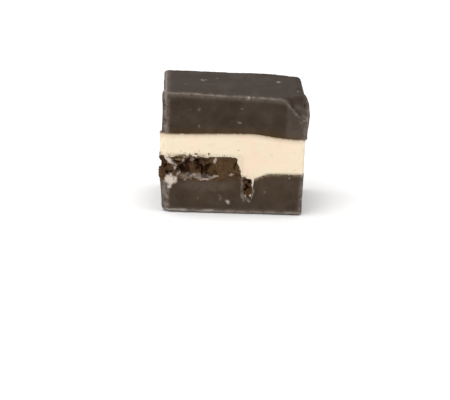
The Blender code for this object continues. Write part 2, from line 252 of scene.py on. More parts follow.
@dataclass(frozen=True)
class Block:
    """The cut of the whole piece: where its sides, top, seams and broken corner lie."""

    half_width: float = 14.85 * MM
    half_depth: float = 14.85 * MM
    height: float = 24.75 * MM
    top_slope: float = 0.45 * MM
    top_slope_back: float = 0.25 * MM
    top_wave: Relief = Relief(0.12 * MM, 9.0 * MM, 4.3)
    back_corner_drop: float = 0.35 * MM  # how far the top droops at its back right corner
    back_corner_reach: float = 9.0 * MM
    # where the foot of each corner stands, outwards from its head
    feet: tuple[tuple[float, float], ...] = (
        (0.10 * MM, -0.30 * MM),
        (-0.85 * MM, -0.10 * MM),
        (0.30 * MM, -0.40 * MM),
        (-0.40 * MM, -0.55 * MM),
    )
    # seams
    lid_level: float = 16.55 * MM
    lid_rise: Fade = Fade(-13.0 * MM, 3.0 * MM, 0.35 * MM)
    lid_drop: Fade = Fade(2.0 * MM, 12.0 * MM, 0.95 * MM)
    lid_wave: Relief = Relief(0.35 * MM, 8.0 * MM, 1.7)
    lid_calm: float = -9.0 * MM  # in front of this y the seam's waves die down
    base_level: float = 7.7 * MM
    base_rise: Fade = Fade(0.0, 7.0 * MM, 0.95 * MM)
    base_wave: Relief = Relief(0.35 * MM, 6.0 * MM, 8.1)
    base_calm: float = -10.0 * MM
    smear_centre: tuple[float, float] = (-1.3 * MM, -13.5 * MM)
    smear_spread: tuple[float, float] = (3.0 * MM, 5.0 * MM)
    smear_rise: float = 1.2 * MM
    split_centre: tuple[float, float] = (3.05 * MM, -14.8 * MM)
    split_spread: tuple[float, float] = (0.85 * MM, 3.2 * MM)
    split_sink: float = 3.4 * MM
    split_floor: float = 0.45  # how much of the split's width is its floor
    shoulder_sink: float = 0.9 * MM  # how far the base's right half rounds off towards the split
    shoulder_reach: float = 4.6 * MM
    # the broken corner
    chip_front: float = 4.7 * MM
    chip_side: float = 4.4 * MM
    chip_down: float = 4.5 * MM
    chip_hollow: float = 0.5 * MM
    chip_blend: float = 1.4 * MM
    # edges and relief
    post_round: float = 0.7 * MM
    worn_post_extra: float = 0.4 * MM  # further radius at the head of the front left edge
    worn_post_spread: float = 1.0 * MM  # how much that radius grows down to its foot
    # where the left and right faces aren't flat
    left_bulge: float = 0.75 * MM  # how far the cream and the base squeeze out at the front left corner
    left_bulge_z: float = 9.5 * MM
    left_bulge_back: tuple[float, float] = (-13.0 * MM, -8.5 * MM)
    left_flare: float = 0.20 * MM
    right_lean: float = 1.10 * MM
    right_lean_start: tuple[float, float] = (-12.5 * MM, -4.0 * MM)
    side_turn_z: float = 19.5 * MM
    right_bulge: float = 0.30 * MM
    right_bulge_middle: tuple[float, float] = (-12.0 * MM, 21.0 * MM)
    right_bulge_reach: tuple[float, float] = (5.0 * MM, 3.0 * MM)
    cut_wave: Relief = Relief(0.16 * MM, 7.0 * MM, 2.9)
    cut_grain: Relief = Relief(0.06 * MM, 2.2 * MM, 6.2)
    crumble: Relief = Relief(0.35 * MM, 2.0 * MM, 11.3)
    crumble_reach: float = 6.0 * MM
    nick: float = 0.30 * MM
    nick_reach: float = 1.1 * MM
    nick_lumps: Relief = Relief(1.0, 1.3 * MM, 15.1)
    nicked: Fade = Fade(0.10, 0.55)  # how deep the lumps of a nick lie
    nick_grain: Relief = Relief(0.35, 0.5 * MM, 3.8)

    @property
    def broken_end(self) -> Vector:
        """The lowest point of the break, on the front right edge."""
        return Vector((self.half_width, -self.half_depth, self.height - self.chip_down))

    def broken_height(self, x: float, y: float) -> float:
        """Height of the scooped plane along which the front right corner has broken off.

        Args:
            x: the place along x.
            y: the place along y.
        Returns:
            The height, in metres, which is above the top away from that corner.
        """
        past_front = (x - self.half_width + self.chip_front) / self.chip_front
        past_side = (-y - self.half_depth + self.chip_side) / self.chip_side
        past = past_front + past_side - 1
        scooped = 4 * self.chip_hollow * max(0.0, past * (1 - past))
        return self.height - self.top_slope - self.chip_down * past - scooped

    def poured_height(self, x: float, y: float) -> float:
        """Height of the top as it was poured, before the corner broke off, at a place in plan.

        Args:
            x: the place along x.
            y: the place along y.
        Returns:
            The height, in metres.
        """
        ripple = self.top_wave.at(Vector((x, y, 0)))
        slope = self.top_slope + (self.top_slope_back - self.top_slope) * (y / self.half_depth + 1) / 2
        reach = (self.back_corner_reach, self.back_corner_reach)
        droop = self.back_corner_drop * hump(x, y, (self.half_width, self.half_depth), reach)
        return self.height - slope * x / self.half_width + ripple - droop

    def top_height(self, x: float, y: float) -> float:
        """Height of the lid's top, with its broken corner, at a place in plan.

        Args:
            x: the place along x.
            y: the place along y.
        Returns:
            The height, in metres.
        """
        flat = self.poured_height(x, y)
        broken = self.broken_height(x, y)
        apart = abs(broken - flat) / self.chip_blend
        return min(flat, broken) - self.chip_blend * max(0.0, 1 - apart) ** 2 / 4

    def lid_seam(self, x: float, y: float) -> float:
        """Height of the seam between the cream and the lid, at a place in plan."""
        level = self.lid_level + self.lid_rise.at(x) - self.lid_drop.at(x)
        return level + blend(-self.half_depth, self.lid_calm, y) * self.lid_wave.at(Vector((x, y, 0)))

    def base_seam(self, x: float, y: float) -> float:
        """Height of the seam between the base and the cream, at a place in plan.

        Args:
            x: the place along x.
            y: the place along y.
        Returns:
            The height, in metres.
        """
        level = self.base_level + self.base_rise.at(x)
        level += self.smear_rise * hump(x, y, self.smear_centre, self.smear_spread)
        across = (x - self.split_centre[0]) / self.split_spread[0]
        along = (y - self.split_centre[1]) / self.split_spread[1]
        level -= self.split_sink * blend(1, self.split_floor, sqrt(across * across + along * along))
        if x > self.split_centre[0]:
            reach = (self.shoulder_reach, self.shoulder_reach)
            level -= self.shoulder_sink * hump(x, y, self.split_centre, reach)
        return level + blend(-self.half_depth, self.base_calm, y) * self.base_wave.at(Vector((x, y, 0)))

    def outline(self, place: Vector, z: float) -> Vector:
        """Finds where a point of the square from -1 to 1 lies in plan.

        Args:
            place: the point of the square.
            z: the height at which the piece is cut.
        Returns:
            The point in plan, in metres.
        """
        up = 1 - z / self.height
        posts = []
        for (right, back), foot in zip(((-1, -1), (1, -1), (-1, 1), (1, 1)), self.feet):
            across = right * (self.half_width + up * foot[0])
            along = back * (self.half_depth + up * foot[1])
            posts.append(Vector((across, along)))
        front = posts[0].lerp(posts[1], (place.x + 1) / 2)
        back = posts[2].lerp(posts[3], (place.x + 1) / 2)
        return front.lerp(back, (place.y + 1) / 2)

    def post_radius(self, place: Vector, z: float) -> float:
        """Radius of the nearest upright edge, as a share of the piece's half width.

        Args:
            place: the place in plan, from -1 to 1 each way.
            z: the height.
        Returns:
            The radius, which is larger at the worn front left edge.
        """
        if place.x > 0 or place.y > 0:
            return self.post_round / self.half_width
        spread = self.worn_post_spread * (1 - z / self.height)
        return (self.post_round + self.worn_post_extra + spread) / self.half_width

    def squeezed_out(self, point: Vector) -> float:
        """How far the cream and the base stand out of the left face at a point."""
        end, start = self.left_bulge_back
        return self.left_bulge * blend(0, self.left_bulge_z, point.z) * blend(start, end, point.y)

    def turned_out(self, point: Vector) -> float:
        """How far the lid's left or right face stands out there.

        Args:
            point: the point of the face.
        Returns:
            The distance, in metres, which is less than 0 where the face leans in.
        """
        high = blend(self.side_turn_z, self.height, point.z)
        if point.x < 0:
            return self.left_flare * high
        bulge = self.right_bulge * hump(point.y, point.z, self.right_bulge_middle, self.right_bulge_reach)
        return bulge - self.right_lean * high * blend(*self.right_lean_start, point.y)

    def relief(self, point: Vector) -> float:
        """How far the knife-cut side stands out at a point of it, which is less than 0 in a hollow."""
        crumbled = blend(self.crumble_reach, 0, (point - self.broken_end).length)
        return self.cut_wave.at(point) + self.cut_grain.at(point) - crumbled * self.crumble.at(point)

    def nicks(self, point: Vector, from_edge: float) -> float:
        """How deep small chips have come off.

        Args:
            point: the point of the surface.
            from_edge: its distance from the nearest edge.
        Returns:
            The depth, in metres.
        """
        near = blend(self.nick_reach, 0, from_edge)
        if near == 0:
            return 0.0
        return self.nick * near * (self.nicked.at(self.nick_lumps.at(point)) + self.nick_grain.at(point))

    def side_point(self, place: Vector, z: float, inset: float, swell: Swell, fine: float = 0.0) -> Vector:
        """A point of the piece's side, or of its inside.

        Args:
            place: the place in plan, from -1 to 1 each way, where 1 is on the side.
            z: the height.
            inset: how far the side stands back there, as on a rounded edge.
            swell: how far the layer's own sides stand out.
            fine: further relief outwards.
        Returns:
            The point, in metres.
        """
        place = rounded(place, self.post_radius(place, z))
        plan = self.outline(place, z)
        point = Vector((*plan, z))
        out = self.relief(point) - inset + fine
        swollen = swell.left + swell.squeezed * self.squeezed_out(point) if place.x < 0 else swell.right
        out_x = out + self.turned_out(point) + swollen
        out_y = out + (swell.front if place.y < 0 else swell.back)
        return Vector((plan.x + place.x**3 * out_x, plan.y + place.y**3 * out_y, z))

    def side_at(self, side: Side, point: Vector, swell: Swell) -> float:
        """Where a layer's side lies on its axis.

        Args:
            side: the side.
            point: the point that it is level with.
            swell: how far the layer's own sides stand out.
        Returns:
            The place on the side's axis, in metres.
        """
        place = Vector((point.x / self.half_width, point.y / self.half_depth))
        place[side.axis] = side.sign
        return self.side_point(place, point.z, 0, swell)[side.axis]

    def from_edges(self, point: Vector, faces: Iterable[float]) -> float:
        """Distance from a point of the surface to the nearest edge.

        Args:
            point: the point of the surface.
            faces: its distances from the faces above and below that the edges run along.
        Returns:
            The distance, in metres.
        """
        up = 1 - point.z / self.height
        gaps = [
            self.half_width + up * self.feet[0][0] + point.x,
            self.half_width + up * self.feet[1][0] - point.x,
            self.half_depth + up * self.feet[0][1] + point.y,
            self.half_depth + up * self.feet[2][1] - point.y,
            *faces,
        ]
        return max(0.0, sorted(gaps)[1])


BLOCK = Block()


# ---------------------------------------------------------------------------------------------------------
# Marks on the front

PATCH_EDGE = Fade(1.2, 0.6)  # where a patch fades out, in shares of its reach
FRONT_ENDS = -13 * MM  # nothing behind this y counts as the front

# How a patch's ragged outline strays along x and along z
STRAY_ACROSS = (Relief(0.34 * MM, 0.8 * MM, 1.1), Relief(0.16 * MM, 0.3 * MM, 2.7))
STRAY_UP = (Relief(0.34 * MM, 0.8 * MM, 5.1), Relief(0.16 * MM, 0.3 * MM, 9.3))


@dataclass(frozen=True)
class Patch:
    """An oval patch of the front face."""

    middle: tuple[float, float]  # x and z, in millimetres
    reach: tuple[float, float]  # half its length and half its width, in millimetres
    turn: float = 0.0  # degrees that its length is turned up from level
    strength: float = 1.0

    def at(self, point: Vector) -> float:
        """How strongly the patch covers a point.

        Args:
            point: the point of the front, in metres.
        Returns:
            A value from 0 to the patch's strength.
        """
        across = point.x / MM - self.middle[0]
        up = point.z / MM - self.middle[1]
        angle = radians(self.turn)
        along = (across * cos(angle) + up * sin(angle)) / self.reach[0]
        over = (up * cos(angle) - across * sin(angle)) / self.reach[1]
        return self.strength * PATCH_EDGE.at(sqrt(along * along + over * over))


# White filling of the cut cookie, which the knife has pressed and dragged over the front
FILLING = (
    Patch((-14.1, 7.3), (0.60, 0.42), 80, 0.95),
    Patch((-13.1, 6.8), (1.35, 0.95), 15),
    Patch((-13.5, 5.7), (0.60, 0.38), 75, 0.95),
    Patch((-13.6, 7.7), (0.80, 0.60), 0, 0.85),
    Patch((-11.8, 8.4), (0.80, 0.30), 55, 0.62),
    Patch((-12.4, 9.6), (0.70, 0.26), 80, 0.62),
    Patch((-13.6, 11.0), (1.35, 0.48), -38),
    Patch((-14.3, 11.5), (0.60, 0.45), -60),
    Patch((-10.7, 11.2), (0.65, 0.35), 70, 0.42),
    Patch((-9.0, 11.2), (0.55, 0.35), 60, 0.42),
    Patch((-8.9, 7.8), (0.80, 0.28), 28, 0.60),
    Patch((-10.4, 7.0), (0.50, 0.12), 0, 0.55),
    Patch((-8.4, 7.7), (3.20, 0.65), 0, 0.32),
    Patch((-6.3, 7.15), (1.15, 0.14), 3, 0.90),
    Patch((-4.4, 7.7), (1.15, 0.30), 12, 0.65),
    Patch((-0.7, 8.3), (0.50, 0.17), 5, 0.45),
    Patch((-4.3, 11.1), (0.70, 0.26), 68, 0.60),
    Patch((-6.0, 5.8), (5.00, 1.30), 0, 0.04),
    Patch((2.05, 3.9), (0.30, 0.24), 70, 0.55),
    Patch((3.45, 4.0), (0.34, 0.24), 60, 0.70),
    Patch((2.9, 2.9), (0.45, 0.30), -20, 0.30),
    Patch((1.5, 5.3), (3.20, 0.28), -86, 0.18),
    Patch((3.80, 5.2), (0.80, 0.10), 86, 0.22),
)

# Crumb and cocoa rubbed into the cream over the front cookie and at its end
SOILED = (
    Patch((-11.2, 12.0), (1.00, 0.48), 8, 0.95),
    Patch((-10.5, 12.3), (0.60, 0.24), 0, 0.80),
    Patch((-9.0, 11.9), (0.35, 0.28), 0, 0.80),
    Patch((-5.4, 12.6), (0.35, 0.14), 88, 0.60),
    Patch((0.6, 13.6), (0.14, 0.14), 0, 0.70),
    Patch((-7.3, 12.0), (0.90, 0.25), 5, 0.35),
    Patch((1.3, 9.0), (1.30, 0.30), -75, 0.25),
    Patch((-5.3, 14.3), (1.20, 0.45), 10, 0.08),
)

# Where crumbs have fallen out of the front cookie, each with its depth in metres as its strength
FRONT_VOIDS = (
    Patch((-10.1, 9.6), (1.30, 1.10), 60, 1.0 * MM),
    Patch((-11.8, 11.0), (0.90, 0.40), 10, 0.8 * MM),
    Patch((-14.3, 10.1), (0.80, 0.55), -60, 0.8 * MM),
    Patch((-13.5, 8.6), (0.65, 0.50), 0, 0.9 * MM),
    Patch((-7.7, 10.4), (0.75, 0.75), 0, 0.7 * MM),
    Patch((-6.6, 9.0), (1.45, 0.28), 88, 1.0 * MM),
    Patch((-11.3, 8.6), (0.55, 0.40), 0, 0.6 * MM),
    Patch((-5.4, 10.0), (0.60, 0.30), 40, 0.4 * MM),
    Patch((0.2, 9.9), (0.80, 0.30), 78, 0.4 * MM),
)

# Pale flecks of sugar on the front (x and z) and on the top (x and y), in millimetres, with their strengths
FRONT_FLECKS = (
    (2.3, 24.3, 0.80), (2.2, 23.9, 0.40), (1.0, 22.1, 0.24), (-9.5, 21.5, 0.12), (-7.9, 21.8, 0.17),
    (-1.1, 19.5, 0.12), (0.5, 19.2, 0.28), (-7.9, 18.2, 0.26), (13.4, 21.3, 0.35), (13.6, 20.4, 0.60),
    (13.9, 19.8, 0.25), (-6.3, 5.9, 0.18), (-1.5, 2.8, 1.00), (-1.4, 2.5, 0.80), (-3.1, 3.7, 0.17),
    (-3.0, 3.1, 0.20), (-7.6, 3.1, 0.14), (6.3, 4.7, 0.18), (11.1, 8.0, 0.45), (14.2, 5.2, 0.60),
    (14.0, 3.6, 0.70),
)
TOP_FLECKS = (
    (-7.1, 3.1, 0.65), (-6.4, 3.3, 0.40), (-4.0, 5.9, 0.40), (8.8, 4.3, 0.70), (9.3, 4.0, 0.40),
    (-10.5, -4.0, 0.14), (3.0, -6.5, 0.14), (12.6, -5.5, 0.40),
)


def strayed(point: Vector) -> Vector:
    """Moves a point a little at random, so that a patch gets a ragged outline.

    Args:
        point: the point.
    Returns:
        The point that is looked up in its stead.
    """
    across = sum(stray.at(point) for stray in STRAY_ACROSS)
    up = sum(stray.at(point) for stray in STRAY_UP)
    return point + Vector((across, 0, up))


def on_front(patches: Iterable[Patch], point: Vector) -> float:
    """How strongly any of the patches covers a point.

    Args:
        patches: the patches of the front.
        point: the point, on any side.
    Returns:
        The strength, which is 0 away from the front.
    """
    if point.y > FRONT_ENDS:
        return 0.0
    place = strayed(point)
    return max(patch.at(place) for patch in patches)


# ---------------------------------------------------------------------------------------------------------
# Meshes


def gridded_cube(cells: tuple[int, int, int]) -> bmesh.types.BMesh:
    """Makes a cube from -1 to 1 whose faces are grids.

    Args:
        cells: how many cells its edges along x, y and z are cut into.
    Returns:
        The mesh, which the caller frees.
    """
    grid = bmesh.new()
    bmesh.ops.create_cube(grid, size=2.0)
    for axis, count in enumerate(cells):
        along = [edge for edge in grid.edges if abs(edge.verts[0].co[axis] - edge.verts[1].co[axis]) > 1]
        bmesh.ops.subdivide_edges(grid, edges=along, cuts=count - 1, use_grid_fill=True)
    return grid


def shaped(name: str, cells: tuple[int, int, int], place: Placer) -> bpy.types.Object:
    """Makes a mesh object from a gridded cube.

    Args:
        name: the object's name.
        cells: how many cells the cube's edges along x, y and z are cut into.
        place: gives the place of each point of the cube.
    Returns:
        The object, linked to the scene.
    """
    grid = gridded_cube(cells)
    for vertex in grid.verts:
        vertex.co = place(vertex.co.copy())
    bmesh.ops.recalc_face_normals(grid, faces=grid.faces)
    mesh = bpy.data.meshes.new(name)
    grid.to_mesh(mesh)
    grid.free()
    made = bpy.data.objects.new(name, mesh)
    bpy.context.scene.collection.objects.link(made)
    return made


def carved(target: bpy.types.Object, cutters: Iterable[bpy.types.Object]) -> None:
    """Cuts other solids out of an object's mesh.

    Args:
        target: the object that is cut.
        cutters: the solids that cut it, which are left as they are.
    """
    for cutter in cutters:
        cut = target.modifiers.new("Pocket", "BOOLEAN")
        cut.object = cutter
        cut.operation = "DIFFERENCE"
        cut.solver = "MANIFOLD"
    graph = bpy.context.evaluated_depsgraph_get()
    mesh = bpy.data.meshes.new_from_object(target.evaluated_get(graph))
    target.modifiers.clear()
    target.data = mesh


def paint(target: bpy.types.Object, name: str, shade: Callable[[Vector], float]) -> None:
    """Gives each point of a mesh a named value from 0 to 1, which its material reads."""
    values = [min(1.0, max(0.0, shade(vertex.co))) for vertex in target.data.vertices]
    target.data.attributes.new(name, "FLOAT", "POINT").data.foreach_set("value", values)


def smooth(target: bpy.types.Object, angle: float = radians(60)) -> None:
    """Shades a mesh smooth, apart from edges that are sharper than the angle."""
    target.data.shade_smooth()
    target.data.set_sharp_from_angle(angle=angle)


# ---------------------------------------------------------------------------------------------------------
# Finishes


@dataclass(frozen=True)
class Cloud:
    """Cloudy noise: how large its lumps are, how fine it gets, and how it is stirred and squeezed."""

    length: float
    detail: float = 3.0
    roughness: float = 0.55
    distortion: float = 0.0
    squeeze: tuple[float, float, float] = (1, 1, 1)  # under 1 along an axis on which it is drawn out


class Shader:
    """Builds one material out of nodes. Lengths are in metres on the piece."""

    def __init__(self, name: str) -> None:
        """Starts a material with its Principled shader.

        Args:
            name: the material's name.
        """
        self.material = bpy.data.materials.new(name)
        self.material.use_nodes = True
        self.tree = self.material.node_tree
        self.surface = self.tree.nodes["Principled BSDF"]
        self.place = self.tree.nodes.new("ShaderNodeTexCoord").outputs["Object"]

    def add(self, kind: str, inputs: dict[str | int, object], **settings: object) -> bpy.types.Node:
        """Adds a node, and links or sets its inputs.

        Args:
            kind: the node's type, without ShaderNode.
            inputs: a socket to link, or a value to set, for each named or numbered input.
            settings: the node's own properties.
        Returns:
            The node.
        """
        made = self.tree.nodes.new("ShaderNode" + kind)
        for name, value in settings.items():
            setattr(made, name, value)
        for name, value in inputs.items():
            if isinstance(value, bpy.types.NodeSocket):
                self.tree.links.new(value, made.inputs[name])
            else:
                made.inputs[name].default_value = value
        return made

    def noise(self, cloud: Cloud) -> bpy.types.NodeSocket:
        """Adds cloudy noise.

        Args:
            cloud: its measures.
        Returns:
            Its value, about 0.5.
        """
        place = self.add("Mapping", {"Vector": self.place, "Scale": cloud.squeeze}).outputs[0]
        inputs = {
            "Vector": place, "Scale": 1 / cloud.length, "Detail": cloud.detail,
            "Roughness": cloud.roughness, "Distortion": cloud.distortion,
        }
        return self.add("TexNoise", inputs).outputs["Fac"]

    def painted(self, name: str) -> bpy.types.NodeSocket:
        """A value that was painted on the mesh."""
        return self.add("Attribute", {}, attribute_name=name).outputs["Fac"]

    def ramp(self, value: bpy.types.NodeSocket, fade: Fade) -> bpy.types.NodeSocket:
        """Rises smoothly with a value.

        Args:
            value: the value.
            fade: where the rise starts and ends, and how high it gets.
        Returns:
            The result.
        """
        inputs = {
            "Value": value, "From Min": fade.start, "From Max": fade.end, "To Min": 0.0, "To Max": fade.top,
        }
        return self.add("MapRange", inputs, interpolation_type="SMOOTHSTEP").outputs["Result"]

    def patches(self, cloud: Cloud, fade: Fade) -> bpy.types.NodeSocket:
        """Adds noise with a rise that makes patches of it."""
        return self.ramp(self.noise(cloud), fade)

    def combined(self, operation: str, first: object, second: object) -> bpy.types.NodeSocket:
        """Works out an operation on two sockets or numbers, and keeps the result from 0 to 1."""
        return self.add("Math", {0: first, 1: second}, operation=operation, use_clamp=True).outputs[0]

    def marked(self, name: str, share: object) -> bpy.types.NodeSocket:
        """A value that was painted on the mesh, times a socket or a number."""
        return self.combined("MULTIPLY", self.painted(name), share)

    def mix(self, share: object, first: object, second: object) -> bpy.types.NodeSocket:
        """Mixes two colours.

        Args:
            share: the share of the second colour, as a socket or a number.
            first: the first colour, as a socket or a Colour.
            second: the second colour, likewise.
        Returns:
            The mixed colour.
        """
        opaque = [(*c, 1.0) if isinstance(c, tuple) else c for c in (first, second)]
        made = self.add("Mix", {0: share, 6: opaque[0], 7: opaque[1]}, data_type="RGBA")
        return made.outputs[2]

    def bump(
        self, height: bpy.types.NodeSocket, depth: float, under: bpy.types.NodeSocket | None = None,
    ) -> bpy.types.NodeSocket:
        """Adds fine relief to the normal.

        Args:
            height: the relief, from 0 to 1.
            depth: how far out 1 lies.
            under: the normal that it lies on, if that isn't the mesh's own.
        Returns:
            The normal.
        """
        inputs: dict[str | int, object] = {"Height": height, "Distance": depth, "Strength": 1.0}
        if under:
            inputs["Normal"] = under
        return self.add("Bump", inputs).outputs["Normal"]

    def finish(self, **inputs: object) -> bpy.types.Material:
        """Links or sets the Principled shader's inputs.

        Args:
            inputs: a socket or a value for each input, whose name is written with _ for a space.
        Returns:
            The finished material.
        """
        for name, value in inputs.items():
            socket = self.surface.inputs[name.replace("_", " ")]
            if isinstance(value, bpy.types.NodeSocket):
                self.tree.links.new(value, socket)
            else:
                socket.default_value = (*value, 1.0) if name == "Base_Color" else value
        return self.material


@dataclass(frozen=True)
class DarkFudge:
    """Dense dark chocolate fudge: satin, with pale worn edges under painted highlights, and cream smeared
    along the seams.
    """

    name: str = "Dark chocolate fudge"
    body: Colour = (0.0480, 0.0322, 0.0218)
    deep: Colour = (0.0365, 0.0240, 0.0162)
    warm: Colour = (0.0600, 0.0330, 0.0130)
    # pale bloom; also the colour of the painted edge highlight and of the painted light on the broken corner
    bloom_and_highlight: Colour = (0.220, 0.1860, 0.1580)
    cream: Colour = (0.52, 0.40, 0.27)
    filling: Colour = (0.63, 0.530, 0.455)
    # pale flecks; also the colour of the base's foot line, which is partly a painted highlight
    fleck: Colour = (0.460, 0.4100, 0.3700)
    broken_paling_and_light: float = 0.13  # how much pale bloom is painted evenly on the broken corner: partly its paler break, partly painted light
    warming: float = 0.85
    roughness: float = 0.60
    clouds: Cloud = Cloud(5.0 * MM, 4)
    cloudy: Fade = Fade(0.38, 0.66)
    uncut: Fade = Fade(1.0, 0.0, 0.65)  # how deep in colour the poured top is
    haze: Cloud = Cloud(3.2 * MM, 3, 0.55, 0.0, (1, 0.25, 1))
    hazy: Fade = Fade(0.42, 0.70, 0.07)
    scuffs: Cloud = Cloud(1.1 * MM, 6, 0.75)
    scuffed: Fade = Fade(0.42, 0.60)
    # patches of the worn edge line and of its painted highlight
    wear_and_highlight: Cloud = Cloud(1.0 * MM, 5, 0.7)
    worn: Fade = Fade(0.26, 0.54)
    creamed: Fade = Fade(0.35, 0.60)
    smears: Cloud = Cloud(0.8 * MM, 5, 0.72)
    smeared: Fade = Fade(0.28, 0.52)
    grain: Cloud = Cloud(0.45 * MM, 4, 0.6)
    grain_depth: float = 0.055 * MM
    grain_on_cuts: Fade = Fade(-0.3, 1.0)
    drag: Cloud = Cloud(0.5 * MM, 3, 0.6, 0.2, (1, 1, 0.12))
    drag_depth: float = 0.05 * MM
    gloss: float = 0.07
    glow: float = 0.06  # how much light goes in and comes out again
    glow_spread: Colour = (1.0, 0.5, 0.3)
    glow_depth: float = 0.4 * MM

    def material(self) -> bpy.types.Material:
        """Builds the material.

        It reads cut, warmed, dulled, scuffed, worn, flecked, creamed and smeared from the mesh.

        Returns:
            The material.
        """
        shader = Shader(self.name)
        cut = shader.painted("cut")
        grain = shader.noise(self.grain)
        # pale bloom patches, and on the broken corner an even pale wash that is partly painted light
        haze = shader.combined(
            "ADD", shader.patches(self.haze, self.hazy), shader.marked("broken_pale_and_lit", self.broken_paling_and_light),
        )
        colour = shader.mix(shader.patches(self.clouds, self.cloudy), self.body, self.deep)
        for share, over in (
            (shader.ramp(cut, self.uncut), self.deep),
            (shader.marked("warmed", self.warming), self.warm),
            (haze, self.bloom_and_highlight),
            (shader.marked("scuffed", shader.patches(self.scuffs, self.scuffed)), self.bloom_and_highlight),
            # worn edge lines and their painted highlight, in the pale bloom colour
            (shader.marked("worn", shader.patches(self.wear_and_highlight, self.worn)), self.bloom_and_highlight),
            # pale flecks, and on the base a foot line that is partly a painted highlight
            (shader.painted("flecked_and_foot_highlit"), self.fleck),
            (shader.marked("creamed", shader.ramp(grain, self.creamed)), self.cream),
            (shader.marked("smeared", shader.patches(self.smears, self.smeared)), self.filling),
        ):
            colour = shader.mix(share, colour, over)
        grained = shader.combined("MULTIPLY", grain, shader.ramp(cut, self.grain_on_cuts))
        normal = shader.bump(grained, self.grain_depth)
        normal = shader.bump(shader.marked("cut", shader.noise(self.drag)), self.drag_depth, normal)
        return shader.finish(
            Base_Color=colour, Roughness=self.roughness, Normal=normal, Specular_IOR_Level=self.gloss,
            Subsurface_Weight=self.glow, Subsurface_Radius=self.glow_spread,
            Subsurface_Scale=self.glow_depth,
        )


@dataclass(frozen=True)
class CreamFudge:
    """Soft vanilla cream fudge, with peach and ivory clouds and brown drawn into it along the seams."""

    name: str = "Vanilla cream fudge"
    ivory: Colour = (0.835, 0.718, 0.545)
    peach: Colour = (0.850, 0.690, 0.535)
    stain: Colour = (0.19, 0.110, 0.055)
    dust: Colour = (0.20, 0.145, 0.085)
    roughness: float = 0.55
    clouds: Cloud = Cloud(6.0 * MM, 3, 0.5, 0.6)
    cloudy: Fade = Fade(0.40, 0.66)
    dusting: Cloud = Cloud(0.7 * MM, 6, 0.75)
    dusted: Fade = Fade(0.36, 0.62)
    staining: Cloud = Cloud(0.8 * MM, 4, 0.7)
    stained: Fade = Fade(0.10, 0.60)
    grain: Cloud = Cloud(0.4 * MM, 4, 0.6)
    drag: Cloud = Cloud(0.45 * MM, 3, 0.6, 0.2, (1, 1, 0.1))
    relief_depth: float = 0.05 * MM  # of the grain and of the knife's drag
    gloss: float = 0.35
    glow: float = 0.55
    glow_spread: Colour = (1.0, 0.62, 0.36)
    glow_depth: float = 0.9 * MM

    def material(self) -> bpy.types.Material:
        """Builds the material, which reads stained and dusted from the mesh.

        Returns:
            The material.
        """
        shader = Shader(self.name)
        colour = shader.mix(shader.patches(self.clouds, self.cloudy), self.ivory, self.peach)
        dust = shader.marked("dusted", shader.patches(self.dusting, self.dusted))
        colour = shader.mix(dust, colour, self.dust)
        stain = shader.marked("stained", shader.patches(self.staining, self.stained))
        colour = shader.mix(stain, colour, self.stain)
        normal = shader.bump(shader.noise(self.grain), self.relief_depth)
        normal = shader.bump(shader.noise(self.drag), self.relief_depth, normal)
        return shader.finish(
            Base_Color=colour, Roughness=self.roughness, Normal=normal, Specular_IOR_Level=self.gloss,
            Subsurface_Weight=self.glow, Subsurface_Radius=self.glow_spread,
            Subsurface_Scale=self.glow_depth,
        )


@dataclass(frozen=True)
class CookieCrumb:
    """Dry chocolate cookie: porous dark crumb, redder where it is thin, with pale filling rubbed into it."""

    name: str = "Chocolate cookie"
    crust: Colour = (0.106, 0.0635, 0.0270)
    # painted shade: the dark red-brown that the pits are painted, darker the deeper they lie
    hollow: Colour = (0.042, 0.0150, 0.0062)
    rust: Colour = (0.066, 0.0310, 0.0135)
    pale: Colour = (0.230, 0.1650, 0.1150)
    smear: Colour = (0.64, 0.540, 0.465)
    roughness: float = 0.92
    crumb: Cloud = Cloud(0.55 * MM, 6, 0.75)
    crumbly: Fade = Fade(0.60, 0.42, 0.75)
    crumb_depth: float = 0.22 * MM
    lumps: Cloud = Cloud(1.5 * MM, 5, 0.7)
    lumpy: Fade = Fade(0.62, 0.44)
    flakes: Cloud = Cloud(0.8 * MM, 6, 0.8)
    flaky: Fade = Fade(0.56, 0.72, 0.75)
    shaded: Fade = Fade(0.10, 0.75)  # how dark the painted shade in a pit is, at a share of the deepest
    smears: Cloud = Cloud(0.8 * MM, 5, 0.72)
    smeared: Fade = Fade(0.28, 0.52)
    gloss: float = 0.15

    def material(self) -> bpy.types.Material:
        """Builds the material, which reads deep, torn and smeared from the mesh.

        Returns:
            The material.
        """
        shader = Shader(self.name)
        crumb = shader.noise(self.crumb)
        colour = shader.mix(shader.ramp(crumb, self.crumbly), self.crust, self.rust)
        for share, over in (
            (shader.marked("torn", shader.patches(self.lumps, self.lumpy)), self.rust),
            (shader.marked("torn", shader.patches(self.flakes, self.flaky)), self.pale),
            # painted shade in the pits, by how far behind the cut a point lies
            (shader.ramp(shader.painted("deep"), self.shaded), self.hollow),
            (shader.marked("smeared", shader.patches(self.smears, self.smeared)), self.smear),
        ):
            colour = shader.mix(share, colour, over)
        normal = shader.bump(crumb, self.crumb_depth)
        return shader.finish(
            Base_Color=colour, Roughness=self.roughness, Normal=normal, Specular_IOR_Level=self.gloss,
        )


